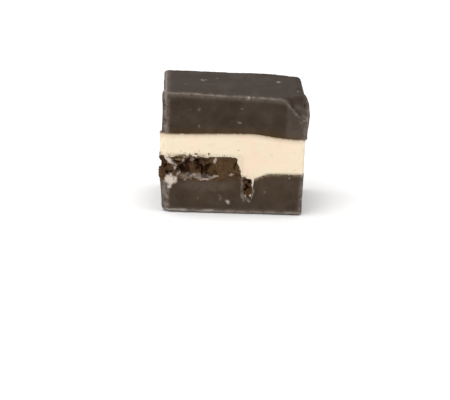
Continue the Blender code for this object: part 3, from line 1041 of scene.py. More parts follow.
@dataclass(frozen=True)
class LooseBits:
    """Small loose bits of one stuff, of an even colour that drifts from bit to bit."""

    name: str
    light: Colour
    dark: Colour
    roughness: float = 0.9
    drift: Cloud = Cloud(0.8 * MM, 4, 0.7)
    drifting: Fade = Fade(0.35, 0.65)
    grain: Cloud = Cloud(0.2 * MM, 3, 0.7)
    grain_depth: float = 0.05 * MM
    gloss: float = 0.2

    def material(self) -> bpy.types.Material:
        """Builds the material.

        Returns:
            The material.
        """
        shader = Shader(self.name)
        colour = shader.mix(shader.patches(self.drift, self.drifting), self.dark, self.light)
        normal = shader.bump(shader.noise(self.grain), self.grain_depth)
        return shader.finish(
            Base_Color=colour, Roughness=self.roughness, Normal=normal, Specular_IOR_Level=self.gloss,
        )


# ---------------------------------------------------------------------------------------------------------
# Cut cookies


@dataclass(frozen=True)
class Cookie:
    """A broken cookie in the cream, which shows at the sides where the knife has cut it."""

    name: str
    cuts: tuple[Side, ...]
    middle: tuple[float, float]
    reach: tuple[float, float]
    top: float
    sink: float
    cells: tuple[int, int, int]
    seed: float
    lean: float = 0.0  # how much further its right end reaches at the bottom than halfway up
    floor: float | None = None  # its underside, if that doesn't follow the seam
    smooth_from: float = 1.0  # the knife has smeared the cut smooth to the right of this x
    voids: tuple[Patch, ...] = ()
    corner: float = 0.5
    crease: float = radians(80)  # faces that meet more sharply than this are shaded apart
    # the torn cut
    pit_depth: float = 1.3 * MM
    pit_length: float = 1.5 * MM
    pitted: Fade = Fade(0.02, 0.42)
    grain_depth: float = 0.40 * MM
    grain_length: float = 0.75 * MM
    fine_grain: float = 0.5
    fine_grain_length: float = 0.35 * MM
    rim: float = 0.7 * MM
    rim_grain: float = 0.35  # how strong the grain is at the very rim
    void_rim: float = 0.5 * MM
    beside_voids: float = 0.7  # how deep pits and grain are on a cut whose voids are given
    filled: float = 0.8  # how much of the relief thick filling levels
    filling_depth: float = 0.04 * MM
    smoothed: Fade = Fade(0.0, 3.0 * MM, 0.60)  # how much less the cut is torn past smooth_from
    # the broken outline
    ragged: float = 0.45 * MM
    ragged_length: float = 2.4 * MM
    bites: tuple[float, float] = (0.28 * MM, 0.9 * MM)  # their depth and length
    frays: tuple[float, float] = (0.10 * MM, 0.4 * MM)
    calmed: Fade = Fade(0.0, 4.0 * MM, 0.75)  # how much less ragged the outline is past smooth_from
    # finish
    pressed_flat: Fade = Fade(0.0, 2.0 * MM, 0.75)  # how much less crumbly the cut looks past smooth_from
    rubbed: Fade = Fade(0.05, 0.40, 0.60)  # filling rubbed into the cuts of the other sides
    rubbed_length: float = 2.2 * MM
    rubbed_seed: float = 4.0
    # build
    proud: float = 0.12 * MM  # how far the crowns of the crumb stand out of the cut
    pressed: float = 0.04 * MM  # how far the buried sides press into the fudge round their pocket
    pocket_cells: float = 0.7  # how coarse the pocket's grid is, as a share of the cookie's
    fewest_cells: int = 4
    pocket_opening: float = 1.5 * MM  # how far the pocket's cutter stands out of the side that it opens
    deepest: float = 1.2 * MM  # how deep a pit has to be to show its darkest

    def share(self, corner: Vector) -> Vector:
        """The cube's point as a share of the cookie's reach, halved along each axis that is cut.

        Args:
            corner: the point of the cube from -1 to 1.
        Returns:
            The share along each axis, which is 0 at a cut.
        """
        share = corner.copy()
        for cut in self.cuts:
            share[cut.axis] = (corner[cut.axis] - cut.sign) / 2
        return rounded(share, self.corner)

    def torn(self, point: Vector, from_rim: float) -> float:
        """How deep crumbs have been torn out of the cut.

        Args:
            point: the point of the cut.
            from_rim: how far inside the cookie's outline it lies.
        Returns:
            The depth, in metres.
        """
        inner = blend(0, self.rim, from_rim)
        pit = self.pitted.at(wave(point, self.pit_length, self.seed)) * inner
        grain = 1 - grains(point, self.grain_length, self.seed)
        grain += self.fine_grain * wave(point, self.fine_grain_length, self.seed)
        grain *= self.rim_grain + (1 - self.rim_grain) * inner
        deep = self.pit_depth * pit + self.grain_depth * grain
        deep *= 1 - self.smoothed.at(point.x - self.smooth_from)
        if self.voids:
            deep = self.beside_voids * deep + on_front(self.voids, point) * blend(0, self.void_rim, from_rim)
        smeared = on_front(FILLING, point)
        return deep * (1 - self.filled * smeared * smeared) + self.filling_depth * smeared

    def ragged_shift(self, point: Vector, axis: int) -> float:
        """How far the broken outline strays.

        Args:
            point: the point of the outline.
            axis: the axis along which it strays.
        Returns:
            The shift, in metres.
        """
        seed = self.seed + axis
        calm = 1 - self.calmed.at(point.x - self.smooth_from)
        broad = self.ragged * wave(point, self.ragged_length, seed)
        bitten = self.bites[0] * wave(point, self.bites[1], seed)
        return calm * (broad + bitten) + self.frays[0] * wave(point, self.frays[1], seed)

    def underside(self, x: float, y: float) -> float:
        """Height of the cookie's underside.

        Args:
            x: the place along x.
            y: the place along y.
        Returns:
            The height, in metres.
        """
        if self.floor is not None:
            return self.floor
        return BLOCK.base_seam(x, y) - self.sink

    def point(self, corner: Vector, grown: float, pocket: bool) -> Vector:
        """Where a point of the cookie's grid lies.

        Args:
            corner: the point of the cube from -1 to 1.
            grown: how far the buried sides stand out.
            pocket: whether this is the cutter of the pocket, which stands out of the cut sides.
        Returns:
            The point, in metres.
        """
        cuts = {cut.axis: cut for cut in self.cuts}
        share = self.share(corner)
        halves = (BLOCK.half_width, BLOCK.half_depth)
        point = Vector((0, 0, 0))
        for axis, half in enumerate(halves):
            middle = cuts[axis].sign * half if axis in cuts else self.middle[axis]
            point[axis] = middle + share[axis] * self.reach[axis]
        floor = self.underside(point.x, point.y)
        reach = (*self.reach, (self.top - floor) / 2)
        point.z = floor + (share.z + 1) * reach[2]
        point.x -= self.lean * share.z * max(0.0, share.x)

        made = point.copy()
        for axis in range(3):
            if axis not in cuts:
                made[axis] += share[axis] * grown + self.ragged_shift(point, axis)
                continue
            side = BLOCK.side_at(cuts[axis], point, CREAM_SWELL)
            if share[axis]:
                inwards = point[axis] - cuts[axis].sign * halves[axis]
                made[axis] = side + inwards + share[axis] * (grown + self.ragged_shift(point, axis))
            elif pocket:
                made[axis] = side + cuts[axis].sign * self.pocket_opening
            else:
                others = [other for other in range(3) if other != axis]
                from_rim = min(
                    reach[other] * (abs(share[other]) if other in cuts else 1 - abs(share[other]))
                    for other in others
                )
                made[axis] = side - cuts[axis].sign * (self.torn(point, from_rim) - self.proud)
        return made

    def outside(self, point: Vector) -> float:
        """Roughly how far a point of the cream's side lies outside the cookie's outline.

        Args:
            point: the point of the side.
        Returns:
            The distance, in metres, which is 0 inside the outline.
        """
        gaps = []
        for axis, half in enumerate((BLOCK.half_width, BLOCK.half_depth)):
            cut = next((cut for cut in self.cuts if cut.axis == axis), None)
            middle = cut.sign * half if cut else self.middle[axis]
            gaps.append(max(0.0, abs(point[axis] - middle) - self.reach[axis]))
        floor = self.underside(point.x, point.y)
        gaps.append(max(0.0, point.z - self.top, floor - point.z))
        return sqrt(sum(gap * gap for gap in gaps))

    def pocket(self) -> bpy.types.Object:
        """Builds the cutter of the pocket that the cookie lies in, a little smaller than the cookie."""
        coarse = tuple(max(self.fewest_cells, int(count * self.pocket_cells)) for count in self.cells)
        return shaped(self.name + "_pocket", coarse, lambda corner: self.point(corner, -self.pressed, True))

    def build(self) -> bpy.types.Object:
        """Builds the cookie, and paints how deep, how torn and how smeared each point of it is.

        Returns:
            The cookie.
        """
        name = self.name + "_crumb"
        made = shaped(name, self.cells, lambda corner: self.point(corner, self.pressed, False))

        def deep(point: Vector) -> float:
            """How far behind the nearest cut side a point lies.

            Args:
                point: the point.
            Returns:
                The depth, as a share of the deepest.
            """
            behind = [
                cut.sign * (BLOCK.side_at(cut, point, CREAM_SWELL) - point[cut.axis]) for cut in self.cuts
            ]
            return min(behind) / self.deepest

        def torn(point: Vector) -> float:
            """How rough the cut is at a point."""
            return 1 - self.pressed_flat.at(point.x - self.smooth_from)

        def smeared(point: Vector) -> float:
            """How strongly white filling covers a point.

            Args:
                point: the point.
            Returns:
                The strength, from 0 to 1.
            """
            if point.y < FRONT_ENDS:
                return on_front(FILLING, point)
            return self.rubbed.at(wave(point, self.rubbed_length, self.seed + self.rubbed_seed))

        # depth behind the cut, which the finish turns into painted shade in the pits
        paint(made, "deep", deep)
        paint(made, "torn", torn)
        paint(made, "smeared", smeared)
        smooth(made, self.crease)
        return made


LID_SWELL = Swell(left=0.10 * MM, back=0.05 * MM, squeezed=0.45)
CREAM_SWELL = Swell(left=0.13 * MM, right=-0.30 * MM, front=0.05 * MM, squeezed=1.0)
BASE_SWELL = Swell(right=-0.20 * MM, back=0.10 * MM, squeezed=1.0)

COOKIES = (
    Cookie(
        "cookie_front", cuts=(Side.FRONT, Side.LEFT), middle=(0, 0), reach=(16.1 * MM, 6.2 * MM),
        top=11.9 * MM, sink=0.7 * MM, cells=(150, 50, 46), seed=3.1, lean=0.65 * MM, corner=0.20,
        smooth_from=-6.0 * MM, voids=FRONT_VOIDS,
    ),
    Cookie(
        "cookie_split", cuts=(Side.FRONT,), middle=(2.45 * MM, 0), reach=(1.1 * MM, 2.4 * MM),
        top=7.5 * MM, sink=0.0, floor=4.1 * MM, cells=(24, 20, 60), seed=7.7,
        pit_length=0.8 * MM, pit_depth=0.8 * MM, ragged=0.2 * MM,
    ),
    Cookie(
        "cookie_right", cuts=(Side.RIGHT,), middle=(0, 5.5 * MM), reach=(3.6 * MM, 4.4 * MM),
        top=11.6 * MM, sink=0.8 * MM, cells=(24, 66, 36), seed=5.2,
    ),
    Cookie(
        "cookie_back", cuts=(Side.BACK,), middle=(-3.5 * MM, 0), reach=(6.6 * MM, 4.0 * MM),
        top=10.6 * MM, sink=0.6 * MM, cells=(100, 26, 36), seed=9.4,
    ),
)


def near_cookie(point: Vector) -> float:
    """Distance from a point of a side to the nearest cookie's outline."""
    return min(cookie.outside(point) for cookie in COOKIES)


def on_side(side: Side, along: float, z: float, swell: Swell) -> Vector:
    """Finds a point on a side.

    Args:
        side: the side.
        along: the place along it.
        z: the height.
        swell: how far the layer's own sides stand out there.
    Returns:
        The point, in metres.
    """
    point = Vector((along, along, z))
    point[side.axis] = side.sign * BLOCK.half_width
    point[side.axis] = BLOCK.side_at(side, point, swell)
    return point


@dataclass(frozen=True)
class Fleck:
    """One pale fleck: where it lies, how far it reaches and how strongly it shows."""

    place: Vector
    reach: float
    strength: float


@dataclass(frozen=True)
class Flecks:
    """Sugar that shows as pale flecks on the dark fudge."""

    smallest: float = 0.14 * MM
    largest: float = 0.34 * MM
    drawn: float = 3.0  # how much longer those on the top are, front to back
    top_band: float = 1.0 * MM  # flecks less than this below the highest point are on the top
    front_band: float = 0.85 * MM  # points this near the front are level with its flecks
    edge: Fade = Fade(1.4, 0.2)  # where a fleck fades out, in shares of its reach
    others: int = 12  # on each of the other sides
    faintness: tuple[float, float] = (0.10, 0.45)
    spread: float = 12.0  # how far from a side's middle they lie, in millimetres
    on_base: float = 0.4  # the share of them that are on the base
    base_heights: tuple[float, float] = (1.5 * MM, 6.0 * MM)
    lid_heights: tuple[float, float] = (17.5 * MM, 23.0 * MM)
    seed: int = 13

    @cached_property
    def all(self) -> tuple[Fleck, ...]:
        """Every fleck of the front and the top, and some on the other sides.

        Returns:
            The flecks.
        """
        draw = random.Random(self.seed)
        places = [(Vector((x * MM, -BLOCK.half_depth, z * MM)), strength) for x, z, strength in FRONT_FLECKS]
        for x, y, strength in TOP_FLECKS:
            places.append((Vector((x * MM, y * MM, BLOCK.top_height(x * MM, y * MM))), strength))
        for side in (Side.LEFT, Side.RIGHT, Side.BACK):
            for _ in range(self.others):
                low = draw.random() < self.on_base
                z = draw.uniform(*(self.base_heights if low else self.lid_heights))
                along = draw.uniform(-self.spread, self.spread) * MM
                place = on_side(side, along, z, BASE_SWELL if low else LID_SWELL)
                places.append((place, draw.uniform(*self.faintness)))
        spare = self.largest - self.smallest
        return tuple(
            Fleck(place, self.smallest + spare * max(strength, draw.random()), strength)
            for place, strength in places
        )

    def at(self, point: Vector) -> float:
        """How strongly pale flecks show on the dark fudge.

        Args:
            point: the point of its surface.
        Returns:
            A value from 0 to 1.
        """
        place = strayed(point)
        if point.y < self.front_band - BLOCK.half_depth:
            place.y = -BLOCK.half_depth
        found = 0.0
        for fleck in self.all:
            apart = place - fleck.place
            if fleck.place.z > BLOCK.height - self.top_band:
                apart.y /= self.drawn
            found = max(found, fleck.strength * self.edge.at(apart.length / fleck.reach))
        return found


FLECKS = Flecks()


# ---------------------------------------------------------------------------------------------------------
# Layers


SEAM_OVERLAP = 0.02 * MM  # how far a layer reaches past its seam, so that no gap shows


@dataclass(frozen=True)
class Layer(ABC):
    """One layer of the fudge, from seam to seam and from side to side."""

    name: str
    node: str
    slot: Slot
    swell: Swell
    cells: tuple[int, int, int]
    crowding: float = 0.5  # how strongly the faces crowd together along the sides, from 0 to 1
    row_crowding: float = 1.3
    drag: Streaks = Streaks(0.035 * MM, 0.45 * MM, 5.0 * MM, 2.2)  # left by the knife
    grain: Relief = Relief(0.02 * MM, 0.5 * MM, 7.1)
    pore_lumps: Relief = Relief(1.0, 0.8 * MM, 19.3)
    pores: Fade = Fade(0.42, 0.62, 0.14 * MM)  # how deep they are where the lumps peak
    # a pale worn line along each edge, and beside it a painted highlight halo where the rounded edge catches
    # light
    edge_line: Fade = Fade(0.5 * MM, 0.15 * MM)
    edge_highlight_halo: Fade = Fade(1.5 * MM, 0.2 * MM, 0.38)
    edge_scuff: Fade = Fade(1.2 * MM, 0.4 * MM, 0.6)
    # blotches at the front left edge: their width and strength at its head, and how much more at its foot
    foot: Fade = Fade(17.0 * MM, 2.0 * MM)
    post_reach: tuple[float, float] = (0.8 * MM, 0.9 * MM)
    post_scuff: tuple[float, float] = (0.60, 0.35)
    post_core: float = 0.5  # the share of their width at which they fade

    def spot(self, corner: Vector) -> Vector:
        """Finds where a point of the layer's grid lies in plan.

        Args:
            corner: the point of the cube from -1 to 1.
        Returns:
            The place in plan, from -1 to 1 each way.
        """
        return Vector([
            (1 - self.crowding) * part + self.crowding * sin(part * pi / 2) for part in (corner.x, corner.y)
        ])

    def fine(self, point: Vector, from_edge: float) -> float:
        """The side's finest relief outwards, at a point and its distance from the nearest edge."""
        pore = self.pores.at(self.pore_lumps.at(point))
        return self.drag.at(point) + self.grain.at(point) - pore - BLOCK.nicks(point, from_edge)

    def wear_and_highlight(self, from_edge: float) -> float:
        """How pale a point is, at a distance from the nearest edge: a worn line with a faint painted
        highlight halo.
        """
        return max(self.edge_line.at(from_edge), self.edge_highlight_halo.at(from_edge))

    def scuffs(self, point: Vector) -> float:
        """How blotchy a dark side is: most at the upright edges, and more at the front left one.

        Args:
            point: the point of the side.
        Returns:
            A value from 0 to 1.
        """
        low = self.foot.at(point.z)
        reach = self.post_reach[0] + self.post_reach[1] * low
        from_post = max(BLOCK.half_width + point.x, BLOCK.half_depth + point.y)
        post = blend(reach, self.post_core * reach, from_post)
        post *= self.post_scuff[0] + self.post_scuff[1] * low
        return max(post, self.edge_scuff.at(BLOCK.from_edges(point, ())))

    @abstractmethod
    def place(self, corner: Vector) -> Vector:
        """Where a point of the layer's grid lies."""

    @abstractmethod
    def paint(self, made: bpy.types.Object) -> None:
        """Paints the values that the layer's finish reads."""

    def build(self, pockets: Iterable[bpy.types.Object]) -> bpy.types.Object:
        """Builds the layer.

        Args:
            pockets: the cutters of the pockets in it.
        Returns:
            The layer, painted and shaded smooth.
        """
        made = shaped(self.name, self.cells, self.place)
        carved(made, pockets)
        self.paint(made)
        smooth(made)
        return made


@dataclass(frozen=True)
class Lid(Layer):
    """The upper slab of dark fudge, with worn upper edges and one corner broken off."""

    top_round: float = 0.75 * MM
    uneven_round: Relief = Relief(0.5, 2.2 * MM, 9.9)
    top_wave: Relief = Relief(0.02 * MM, 4.0 * MM, 5.5)
    top_pore_lumps: Relief = Relief(1.0, 1.1 * MM, 3.3)
    top_pores: Fade = Fade(0.55, 0.75, 0.10 * MM)
    top_nicks: float = 0.6  # how deep they are, to those of the sides
    broken: Fade = Fade(0.0, 0.6 * MM)  # how rough the broken corner is below the poured top
    broken_lumps: Relief = Relief(0.26 * MM, 1.5 * MM, 8.8)
    broken_grain: Relief = Relief(0.07 * MM, 0.7 * MM, 2.4)
    # where the broken corner is painted paler: partly its fresh break, partly painted light from above
    broken_pale_and_lit: Fade = Fade(-0.4 * MM, 0.6 * MM)
    unworn: float = 0.6  # how much fainter the worn line and painted highlight are at the broken corner's edges
    corner_scuff: Fade = Fade(1.4 * MM, 0.3 * MM, 0.55)
    crumbled: Fade = Fade(2.6 * MM, 0.8 * MM, 0.80)
    browned: Fade = Fade(1.9 * MM, 0.0)
    cut_from: Fade = Fade(0.2 * MM, 1.0 * MM)  # where the cut sides start, below the top

    def place(self, corner: Vector) -> Vector:
        """Finds where a point of the lid's grid lies.

        Args:
            corner: the point of the cube from -1 to 1.
        Returns:
            The point, in metres.
        """
        spot = self.spot(corner)
        plan = BLOCK.outline(spot, BLOCK.height)
        top = BLOCK.top_height(*plan)
        bottom = BLOCK.lid_seam(*BLOCK.outline(spot, BLOCK.lid_level)) - SEAM_OVERLAP
        down = (top - bottom) * ((1 - corner.z) / 2) ** self.row_crowding
        rough = Vector((*plan, top - down))
        from_edge = BLOCK.from_edges(rough, (down,))
        radius = self.top_round * (1 + self.uneven_round.at(rough))
        fine = self.fine(rough, from_edge)
        point = BLOCK.side_point(spot, top - down, edge_inset(down, radius), self.swell, fine)
        if down == 0:
            point.z += self.top_relief(rough, from_edge)
        return point

    def top_relief(self, point: Vector, from_edge: float) -> float:
        """Relief of the poured top and of the broken corner.

        Args:
            point: the point of the top.
            from_edge: its distance from the nearest edge.
        Returns:
            The relief upwards, in metres.
        """
        relief = self.top_wave.at(point) - self.top_pores.at(self.top_pore_lumps.at(point))
        rough = self.broken_lumps.at(point) + self.broken_grain.grained(point)
        relief += self.broken.at(self.broken_off(point)) * rough
        return relief - self.top_nicks * BLOCK.nicks(point, from_edge)

    def broken_off(self, point: Vector) -> float:
        """How far the break lies below the poured top, which is less than 0 away from the corner."""
        return BLOCK.poured_height(point.x, point.y) - BLOCK.broken_height(point.x, point.y)

    def paint(self, made: bpy.types.Object) -> None:
        """Paints the worn lines and painted highlight along the edges, the broken corner, the marks, and the
        browning at the seam.

        Args:
            made: the mesh.
        """

        def below_top(point: Vector) -> float:
            """How far a point lies below the top."""
            return BLOCK.top_height(point.x, point.y) - point.z

        def broken_pale_and_lit(point: Vector) -> float:
            """How far a point is on or beside the broken corner, from 0 to 1."""
            return self.broken_pale_and_lit.at(self.broken_off(point))

        def worn(point: Vector) -> float:
            """The worn line and painted highlight along the edges, which are fainter round the broken corner.
            """
            wear_and_highlight = self.wear_and_highlight(BLOCK.from_edges(point, (below_top(point),)))
            return wear_and_highlight * (1 - self.unworn * broken_pale_and_lit(point))

        def scuffed(point: Vector) -> float:
            """The blotches, which also show on the broken corner and below it.

            Args:
                point: the point.
            Returns:
                Their strength, from 0 to 1.
            """
            corner = broken_pale_and_lit(point) * self.corner_scuff.at(below_top(point))
            crumbled = self.crumbled.at((point - BLOCK.broken_end).length)
            return max(corner, crumbled, self.scuffs(point))

        def warmed(point: Vector) -> float:
            """How brown the lid is towards its seam."""
            return self.browned.at(point.z - BLOCK.lid_seam(point.x, point.y))

        # worn edge lines with their painted highlight
        paint(made, "worn", worn)
        # the broken corner's paler break and its painted light
        paint(made, "broken_pale_and_lit", broken_pale_and_lit)
        paint(made, "scuffed", scuffed)
        paint(made, "warmed", warmed)
        paint(made, "flecked_and_foot_highlit", FLECKS.at)
        paint(made, "cut", lambda point: self.cut_from.at(below_top(point)))


@dataclass(frozen=True)
class Cream(Layer):
    """The slab of vanilla fudge between the two dark ones."""

    # how brown it is under the lid and over the base, at a distance from the seam
    lid_line: Fade = Fade(0.38 * MM, 0.0, 0.68)
    lid_tint: Fade = Fade(1.2 * MM, 0.1 * MM, 0.32)
    base_line: Fade = Fade(0.45 * MM, 0.0, 0.55)
    # how much crumb is rubbed in beside a cookie
    dust: float = 0.25
    dust_left: Fade = Fade(-2.0 * MM, -7.0 * MM, 0.40)  # how much more towards the left
    dust_reach: Fade = Fade(1.1 * MM, 0.0)
    dust_falloff: float = 1.5

    def place(self, corner: Vector) -> Vector:
        """Finds where a point of the cream's grid lies.

        Args:
            corner: the point of the cube from -1 to 1.
        Returns:
            The point, in metres.
        """
        spot = self.spot(corner)
        plan = BLOCK.outline(spot, (BLOCK.lid_level + BLOCK.base_level) / 2)
        top = BLOCK.lid_seam(*BLOCK.outline(spot, BLOCK.lid_level)) + SEAM_OVERLAP
        bottom = BLOCK.base_seam(*BLOCK.outline(spot, BLOCK.base_level)) - SEAM_OVERLAP
        rough = Vector((*plan, bottom + (top - bottom) * (corner.z + 1) / 2))
        from_edge = BLOCK.from_edges(rough, ())
        return BLOCK.side_point(spot, rough.z, 0, self.swell, self.fine(rough, from_edge))

    def paint(self, made: bpy.types.Object) -> None:
        """Paints stained along the seams and dusted round the cookies.

        Args:
            made: the mesh.
        """

        def stained(point: Vector) -> float:
            """How brown the cream is along its seams.

            Args:
                point: the point.
            Returns:
                The strength, from 0 to 1.
            """
            under_lid = BLOCK.lid_seam(point.x, point.y) - point.z
            over_base = point.z - BLOCK.base_seam(point.x, point.y)
            lid = self.lid_line.at(under_lid) + self.lid_tint.at(under_lid)
            return max(lid, self.base_line.at(over_base))

        def dusted(point: Vector) -> float:
            """How much crumb is rubbed into the cream."""
            dust = self.dust_reach.at(near_cookie(point)) ** self.dust_falloff
            return max((self.dust + self.dust_left.at(point.x)) * dust, on_front(SOILED, point))

        paint(made, "stained", stained)
        paint(made, "dusted", dusted)


@dataclass(frozen=True)
class Base(Layer):
    """The lower slab of dark fudge, which the piece stands on."""

    foot_round: float = 0.75 * MM
    foot_extra: float = 0.6 * MM
    foot_reach: float = 5.0 * MM
    uneven_round: Relief = Relief(0.3, 2.2 * MM, 9.9)
    # pale band along the foot: partly wear, partly a painted highlight where the downward-facing round gets
    # little light
    foot_wear_and_highlight: Fade = Fade(0.9 * MM, 0.5 * MM)
    # the filling that is smeared over the front
    smear_depth: float = 0.10 * MM
    smear_lumps: Relief = Relief(1.0, 0.5 * MM, 4.4)
    # browning and cream at the seam
    browned: Fade = Fade(1.2 * MM, 0.0, 0.40)
    smear_browned: Fade = Fade(5.0 * MM, 0.0)
    smear_spread: tuple[float, float] = (5.0 * MM, 6.0 * MM)
    creamed: Fade = Fade(0.7 * MM, 0.0, 0.50)
    # the pale line along the foot, partly rubbed on and partly a painted highlight
    line_height: float = 0.6 * MM
    line_width: Fade = Fade(0.42 * MM, 0.12 * MM)
    line_lumps: Relief = Relief(1.0, 1.6 * MM, 6.6)
    line_breaks: Fade = Fade(-0.35, 0.25)
    line: float = 0.08
    line_left: Fade = Fade(-0.5 * MM, -4.0 * MM, 0.50)  # how much more towards the left

    def place(self, corner: Vector) -> Vector:
        """Finds where a point of the base's grid lies.

        Args:
            corner: the point of the cube from -1 to 1.
        Returns:
            The point, in metres.
        """
        spot = self.spot(corner)
        plan = BLOCK.outline(spot, 0)
        top = BLOCK.base_seam(*BLOCK.outline(spot, BLOCK.base_level)) + SEAM_OVERLAP
        up = top * ((corner.z + 1) / 2) ** self.row_crowding
        reach = (self.foot_reach, self.foot_reach)
        worn = hump(plan.x, plan.y, (-BLOCK.half_width, -BLOCK.half_depth), reach)
        rough = Vector((*plan, up))
        radius = (self.foot_round + self.foot_extra * worn) * (1 + self.uneven_round.at(rough))
        smear = self.smear_depth * on_front(FILLING, rough) * (1 + self.smear_lumps.at(rough))
        fine = self.fine(rough, BLOCK.from_edges(rough, (up,))) + smear
        return BLOCK.side_point(spot, up, edge_inset(up, radius), self.swell, fine)

    def paint(self, made: bpy.types.Object) -> None:
        """Paints the worn lines and painted highlight along the edges, the marks, and the browning and the
        cream at the seam.

        Args:
            made: the mesh.
        """

        def under_seam(point: Vector) -> float:
            """How far a point lies below the base's seam."""
            return BLOCK.base_seam(point.x, point.y) - point.z

        def worn(point: Vector) -> float:
            """The worn line and painted highlight along the edges, which are strongest along the foot."""
            return max(self.foot_wear_and_highlight.at(point.z), self.wear_and_highlight(BLOCK.from_edges(point, (point.z,))))

        def warmed(point: Vector) -> float:
            """How brown the base is towards its seam and under the end of the front cookie.

            Args:
                point: the point.
            Returns:
                The strength, from 0 to 1.
            """
            smear = hump(point.x, point.y, BLOCK.smear_centre, self.smear_spread)
            under = under_seam(point)
            return max(self.browned.at(under), self.smear_browned.at(under) * smear)

        def flecked_and_foot_highlit(point: Vector) -> float:
            """The flecks, and the pale line along the foot, which is partly rubbed on and partly a painted
            highlight.

            Args:
                point: the point.
            Returns:
                Their strength, from 0 to 1.
            """
            line = self.line_width.at(abs(point.z - self.line_height))
            line *= self.line_breaks.at(self.line_lumps.at(point))
            return max(FLECKS.at(point), line * (self.line + self.line_left.at(point.x)))

        # worn edge lines with their painted highlight, and the pale band along the foot
        paint(made, "worn", worn)
        paint(made, "warmed", warmed)
        paint(made, "creamed", lambda point: self.creamed.at(under_seam(point)))
        paint(made, "scuffed", self.scuffs)
        paint(made, "smeared", lambda point: on_front(FILLING, point))
        # pale flecks, and the foot line that is partly a painted highlight
        paint(made, "flecked_and_foot_highlit", flecked_and_foot_highlit)
        paint(made, "cut", lambda point: 1.0)


# ---------------------------------------------------------------------------------------------------------
# Loose bits


@dataclass(frozen=True)
class Bit:
    """One loose bit: where it lies, how large it is each way, and which way out of the fudge is."""

    place: Vector
    size: Vector
    outwards: Vector


@dataclass(frozen=True)
class Scatter:
    """Many small bits of one kind, joined into one piece."""

    name: str
    slot: Slot
    finish: LooseBits
    seed: int
    lumps: tuple[tuple[float, float], ...] = ((0.42, 1.1), (0.22, 2.9))  # their depth, and how fine they are
    shift: float = 50.0  # how far the lumps' noise is shifted, at most, from bit to bit

    def build(self, bits: Iterable[Bit]) -> bpy.types.Object:
        """Builds the bits as uneven pebbles, pressed flat against the fudge.

        Args:
            bits: the bits.
        Returns:
            All of them, as one object.
        """
        draw = random.Random(self.seed)
        heap = bmesh.new()
        for bit in bits:
            turn = Euler([draw.uniform(0, 2 * pi) for _ in range(3)]).to_matrix()
            press = bit.outwards.to_track_quat("Z", "Y").to_matrix()
            offset = Vector([draw.uniform(-self.shift, self.shift) for _ in range(3)])
            pebble = bmesh.ops.create_icosphere(heap, subdivisions=2, radius=1.0)
            for vertex in pebble["verts"]:
                lump = turn @ vertex.co
                lump *= 1 + sum(depth * noise.noise(lump * rate + offset) for depth, rate in self.lumps)
                vertex.co = bit.place + press @ (lump * bit.size)
        mesh = bpy.data.meshes.new(self.name)
        heap.to_mesh(mesh)
        heap.free()
        mesh.shade_smooth()
        made = bpy.data.objects.new(self.name, mesh)
        bpy.context.scene.collection.objects.link(made)
        return made


@dataclass(frozen=True)
class CookieDust:
    """Dark crumbs that the knife dragged out of each cookie and over the cream."""

    count: int = 200
    smallest: float = 0.06 * MM
    largest: float = 0.26 * MM
    rarity: int = 4  # how rare large crumbs are
    lengths: tuple[float, float] = (0.8, 2.0)  # least and most, to a crumb's size
    heights: tuple[float, float] = (0.5, 1.1)
    flatness: float = 0.35
    drift_up: float = 0.45 * MM
    drift_down: float = 0.1 * MM
    drift_aside: float = 0.2 * MM
    drift_lumps: float = 1.9 * MM  # crumbs lie in clusters about this far across
    drifts: Fade = Fade(-0.05, 0.35)
    smooth_share: float = 0.25  # how many are left where the cut is smooth
    from_post: float = 0.9 * MM
    from_lid: float = 1.5 * MM
    seed: int = 5
    # the largest, torn out over the front cookie: x, z, half length and half height, in millimetres
    torn_out: tuple[tuple[float, float, float, float], ...] = (
        (-11.9, 11.2, 0.85, 0.26),
        (-10.9, 12.0, 0.70, 0.25),
        (-10.1, 11.7, 0.35, 0.22),
        (-9.3, 12.0, 0.25, 0.22),
        (-5.6, 12.5, 0.16, 0.24),
        (-7.6, 11.8, 0.40, 0.20),
        (0.5, 13.4, 0.08, 0.09),
    )

    def bits(self) -> list[Bit]:
        """Draws the crumbs: most of them small, and close to a cookie's outline.

        Returns:
            The crumbs.
        """
        draw = random.Random(self.seed)
        found = [
            self.crumb(Side.FRONT, x * MM, z * MM, (long * MM, high * MM))
            for x, z, long, high in self.torn_out
        ]
        cuts = [(cookie, cut) for cookie in COOKIES for cut in cookie.cuts if cookie.name != "cookie_split"]
        total = sum(cookie.reach[1 - cut.axis] for cookie, cut in cuts)
        for cookie, cut in cuts:
            for _ in range(int(self.count * cookie.reach[1 - cut.axis] / total)):
                corner = Vector((draw.uniform(-1, 1), draw.uniform(-1, 1), 1.0))
                corner[cut.axis] = cut.sign
                edge = cookie.point(corner, 0.0, False)
                along = edge[1 - cut.axis] + draw.gauss(0, self.drift_aside)
                z = edge.z - self.drift_down + draw.expovariate(1 / self.drift_up)
                size = self.smallest + (self.largest - self.smallest) * draw.random() ** self.rarity
                shape = (size * draw.uniform(*self.lengths), size * draw.uniform(*self.heights))
                share = self.drifts.at(wave(edge, self.drift_lumps, cookie.seed))
                if cookie.smooth_from < along and cut == Side.FRONT:
                    share *= self.smooth_share
                fits = abs(along) < BLOCK.half_width - self.from_post and z < BLOCK.lid_level - self.from_lid
                if draw.random() <= share and fits:
                    found.append(self.crumb(cut, along, z, shape))
        return found

    def crumb(self, side: Side, along: float, z: float, shape: tuple[float, float]) -> Bit:
        """Makes one crumb, pressed flat on the cream.

        Args:
            side: the side that it lies on.
            along: its place along that side.
            z: its height.
            shape: half its length and half its height.
        Returns:
            The crumb.
        """
        place = on_side(side, along, z, CREAM_SWELL)
        size = Vector((*shape, self.flatness * min(shape)))
        return Bit(place, size, side.outwards)


# ---------------------------------------------------------------------------------------------------------
# The studio


